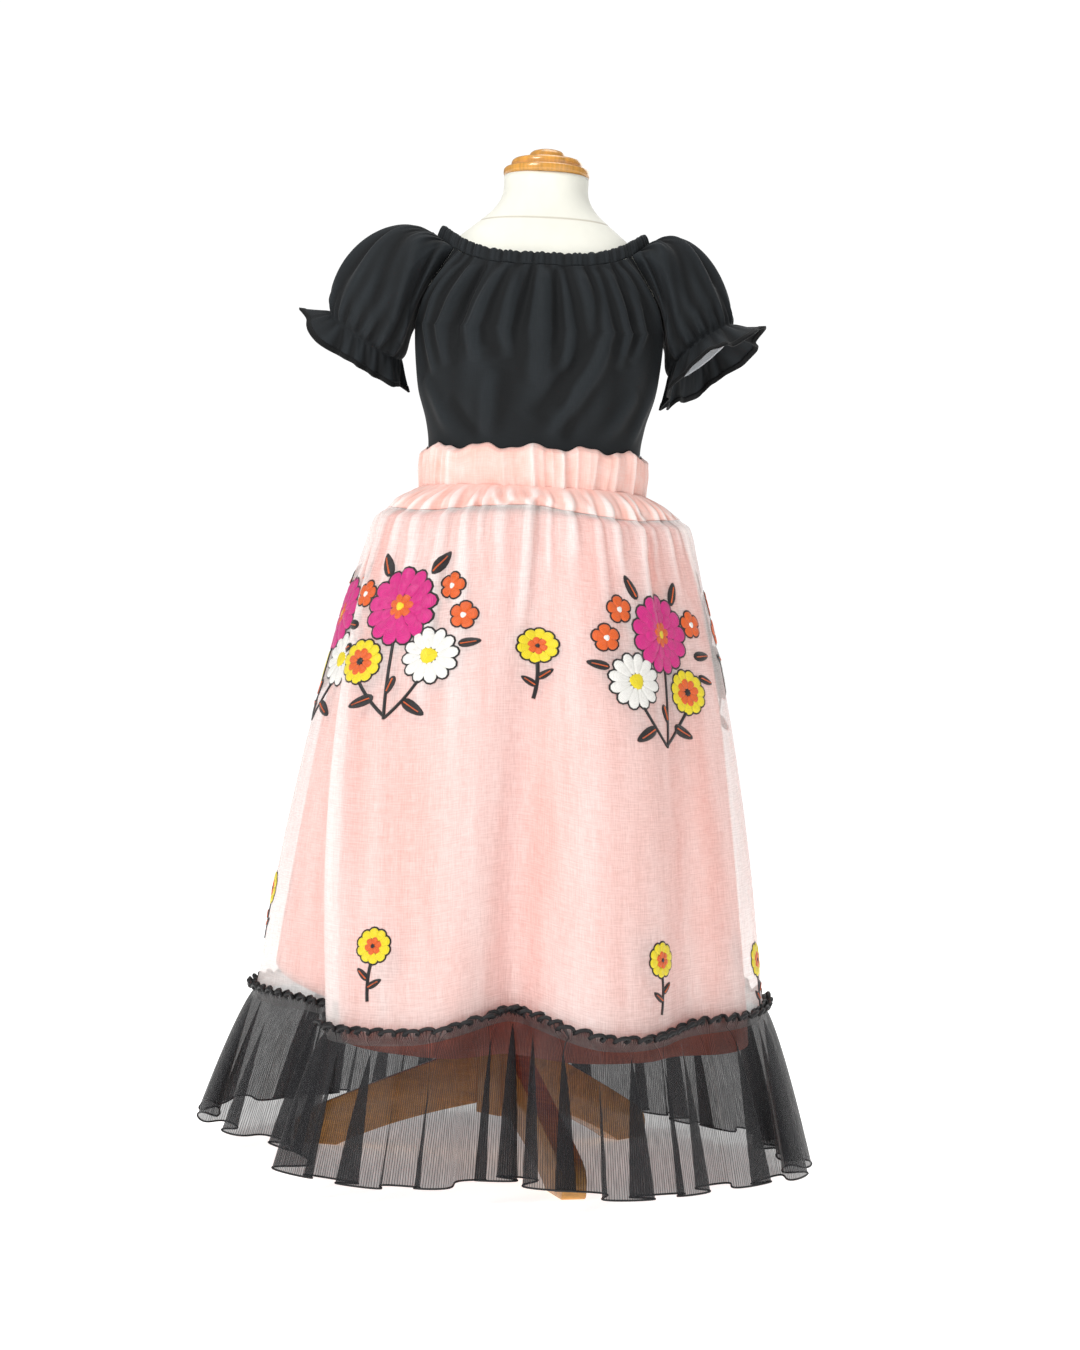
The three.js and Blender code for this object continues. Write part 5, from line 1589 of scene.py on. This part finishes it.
def flower(work, sprig, centre, rows, layer):
    """Rounds of petals: colour, number, root, tip and width of each, the lowest round first."""
    for index, (colour, number, root, tip, width) in enumerate(rows):
        for step in range(number):
            direction = (step + 0.5 * (index % 2)) / number * TAU + 0.2
            lift = layer + index * 2 + (step % 2) * 0.5
            work.shape(colour, sprig, petal(root, tip, width, direction, centre), lift, edge=1.6)


def leaf(work, sprig, place, degrees, length, layer=0):
    """A black leaf with a light vein."""
    direction = math.radians(degrees)
    outline = petal(0, length, length * 0.42, direction, place, lean=-0.25)
    work.shape("black_stitch", sprig, outline, layer, edge=0)
    reach = np.linspace(0.12, 0.8, 6)[:, None] * length
    line = np.array(place) + reach * np.array([math.cos(direction), math.sin(direction)])
    work.strip("orange_stitch", sprig, line, 1.4, layer + 5)


def stem(work, sprig, *corners):
    """A black stem along a bent line."""
    work.strip("black_stitch", sprig, np.concatenate([
        np.array([corners[0]], float), quadratic(corners[0], corners[1], corners[2], 9),
    ]), 3.8)


def bouquet(work, sprig):
    """A folk bouquet: a dahlia, a daisy, a marigold, small blossoms and leaves."""
    stem(work, sprig, (-8, -16), (-6, -60), (0, -100))
    stem(work, sprig, (32, -54), (18, -78), (1, -98))
    stem(work, sprig, (-38, -60), (-20, -82), (-1, -96))
    for place, degrees, length in (
        ((-16, -76), 205, 30), ((16, -78), -30, 30), ((-60, 2), 175, 26), ((-36, 58), 118, 30),
        ((24, 62), 62, 30), ((66, -14), 12, 24), ((-62, -20), 200, 22), ((2, -52), 255, 22),
    ):
        leaf(work, sprig, place, degrees, length)
    for place in ((50, 50), (-64, 38), (68, 18)):
        rows = (("orange_stitch", 5, 1, 15, 12), ("white_stitch", 1, -3.5, 3.5, 7))
        flower(work, sprig, place, rows, 1)
    flower(work, sprig, (-42, -38), (
        ("yellow_stitch", 11, 9, 25, 12), ("orange_stitch", 8, 3, 16, 9),
        ("black_stitch", 1, -4, 4, 8),
    ), 1)
    flower(work, sprig, (38, -28), (
        ("white_stitch", 12, 6, 31, 12), ("yellow_stitch", 1, -9, 9, 18),
    ), 2)
    flower(work, sprig, (-8, 25), (
        ("magenta_stitch", 13, 16, 44, 17), ("magenta_stitch", 10, 8, 29, 13),
        ("orange_stitch", 7, 2, 15, 9), ("yellow_stitch", 1, -5, 5, 10),
    ), 1)


def small_sprig(work, sprig):
    """A single small marigold on its stem."""
    stem(work, sprig, (0, -12), (3, -34), (-2, -56))
    leaf(work, sprig, (1, -34), 40, 18)
    leaf(work, sprig, (1, -42), 145, 18)
    flower(work, sprig, (0, 2), (
        ("yellow_stitch", 10, 6, 19, 10), ("orange_stitch", 6, 1, 10, 7),
        ("black_stitch", 1, -2.5, 2.5, 5),
    ), 1)


BOUQUETS = ((-37, 604), (42, 586), (-86, 596), (98, 600), (150, 588), (202, 606), (236, 584))
SMALL_SPRIGS = (
    (4, 590), (-29, 262), (35, 258), (-84, 300), (70, 250), (105, 270), (150, 262), (186, 250),
    (225, 268), (124, 470), (182, 480),
)


class FOLKSET_OT_embroidery(bpy.types.Operator):
    """Make the bunches of flowers embroidered on the gauze"""

    bl_idname = "folkset.embroidery"
    bl_label = "Embroidery"

    def execute(self, context):
        work = Stitchery(context.scene.folk_set_sizes.stitch_height / MM)
        for index, (degrees, height) in enumerate(BOUQUETS):
            bouquet(work, Sprig(degrees, height, index % 2 == 1))
        for index, (degrees, height) in enumerate(SMALL_SPRIGS):
            small_sprig(work, Sprig(degrees, height, index % 2 == 1))
        for colour in sorted(work.shapes):
            finish_piece(work.build(colour), finish_of(colour))
        return {"FINISHED"}


class FOLKSET_OT_stage(bpy.types.Operator):
    """Make the floor, the lights and the camera"""

    bl_idname = "folkset.stage"
    bl_label = "Stage"

    def execute(self, context):
        scene = context.scene
        deselect_all()
        bpy.ops.mesh.primitive_circle_add(
            vertices=96, radius=14, fill_type="NGON", location=(0, 0, -0.0005),
        )
        floor = context.object
        floor.name = "floor"
        material, tree = new_material("pale matt floor")
        mottling = stretched_noise(tree, object_place(tree), (400, 400, 400), 3)
        colour = blend_colours(tree, mottling, linear("#f4f3f1"), linear("#f8f8f6"))
        finish_material(
            tree, Base_Color=colour, Roughness=0.9, Specular_IOR_Level=0.1,
            Emission_Color=linear("#ffffff"), Emission_Strength=0.85,
        )
        floor.data.materials.append(material)

        world = bpy.data.worlds.new("studio")
        scene.world = world
        world.use_nodes = True
        world.node_tree.nodes.clear()
        tree = world.node_tree
        # A white surround to look at, and a dimmer one for light, as with a lit studio sweep.
        seen = add_node(tree, "ShaderNodeLightPath").outputs["Is Camera Ray"]
        strength = spread(tree, seen, 0, 1, 0.26, 1.05)
        sky = add_node(tree, "ShaderNodeBackground", {"Color": linear("#ffffff"), "Strength": strength})
        add_node(tree, "ShaderNodeOutputWorld", {"Surface": sky.outputs[0]})

        for name, size, power, place in (
            ("key", 1.1, 74, (-1.7, -2.2, 2.7)), ("fill", 2.2, 15, (2.2, -2.3, 1.2)),
            ("top", 1.6, 26, (0.2, 0.4, 3.2)), ("back", 1.8, 22, (1.4, 2.6, 1.9)),
        ):
            light = bpy.data.lights.new(name, "AREA")
            light.size = size
            light.energy = power
            lamp = bpy.data.objects.new(name, light)
            lamp.location = place
            aim = Vector(LIGHTS_AIM) - Vector(place)
            lamp.rotation_euler = aim.to_track_quat("-Z", "Y").to_euler()
            scene.collection.objects.link(lamp)

        camera_data = bpy.data.cameras.new("camera")
        camera_data.lens = CAMERA_LENS
        camera_data.sensor_width = CAMERA_SENSOR
        camera = bpy.data.objects.new("camera", camera_data)
        camera.matrix_world = (
            Matrix.Translation(CAMERA_PLACE) @ Matrix.Rotation(math.pi / 2, 4, "X")
            @ Matrix.Rotation(math.radians(CAMERA_ROLL), 4, "Z")
        )
        scene.collection.objects.link(camera)
        scene.camera = camera
        scene.view_settings.view_transform = "Standard"
        return {"FINISHED"}


PIECE_OPERATORS = (
    FOLKSET_OT_form, FOLKSET_OT_stand, FOLKSET_OT_panels, FOLKSET_OT_casing, FOLKSET_OT_sleeves,
    FOLKSET_OT_elastics, FOLKSET_OT_waistband, FOLKSET_OT_yoke, FOLKSET_OT_gauze,
    FOLKSET_OT_lining, FOLKSET_OT_ruffle, FOLKSET_OT_embroidery, FOLKSET_OT_stage,
)


class FOLKSET_PT_panel(bpy.types.Panel):
    """Lists the set's sizes and its pieces"""

    bl_idname = "FOLKSET_PT_panel"
    bl_label = "Folk Skirt and Blouse Set"
    bl_space_type = "VIEW_3D"
    bl_region_type = "UI"
    bl_category = "Folk Set"

    def draw(self, context):
        for group in (context.scene.folk_set_sizes, context.scene.folk_set_colours):
            for name in group.bl_rna.properties.keys():
                if name not in {"rna_type", "name"}:
                    self.layout.prop(group, name)
        for operator in PIECE_OPERATORS:
            self.layout.operator(operator.bl_idname)


CLASSES = (FOLKSET_PG_sizes, FOLKSET_PG_colours, *PIECE_OPERATORS, FOLKSET_PT_panel)


def register():
    for cls in CLASSES:
        bpy.utils.register_class(cls)
    bpy.types.Scene.folk_set_sizes = bpy.props.PointerProperty(type=FOLKSET_PG_sizes)
    bpy.types.Scene.folk_set_colours = bpy.props.PointerProperty(type=FOLKSET_PG_colours)


def unregister():
    del bpy.types.Scene.folk_set_colours
    del bpy.types.Scene.folk_set_sizes
    for cls in reversed(CLASSES):
        bpy.utils.unregister_class(cls)


def main():
    register()
    for operator in PIECE_OPERATORS:
        group, name = operator.bl_idname.split(".")
        getattr(getattr(bpy.ops, group), name)()


if __name__ == "__main__":
    main()
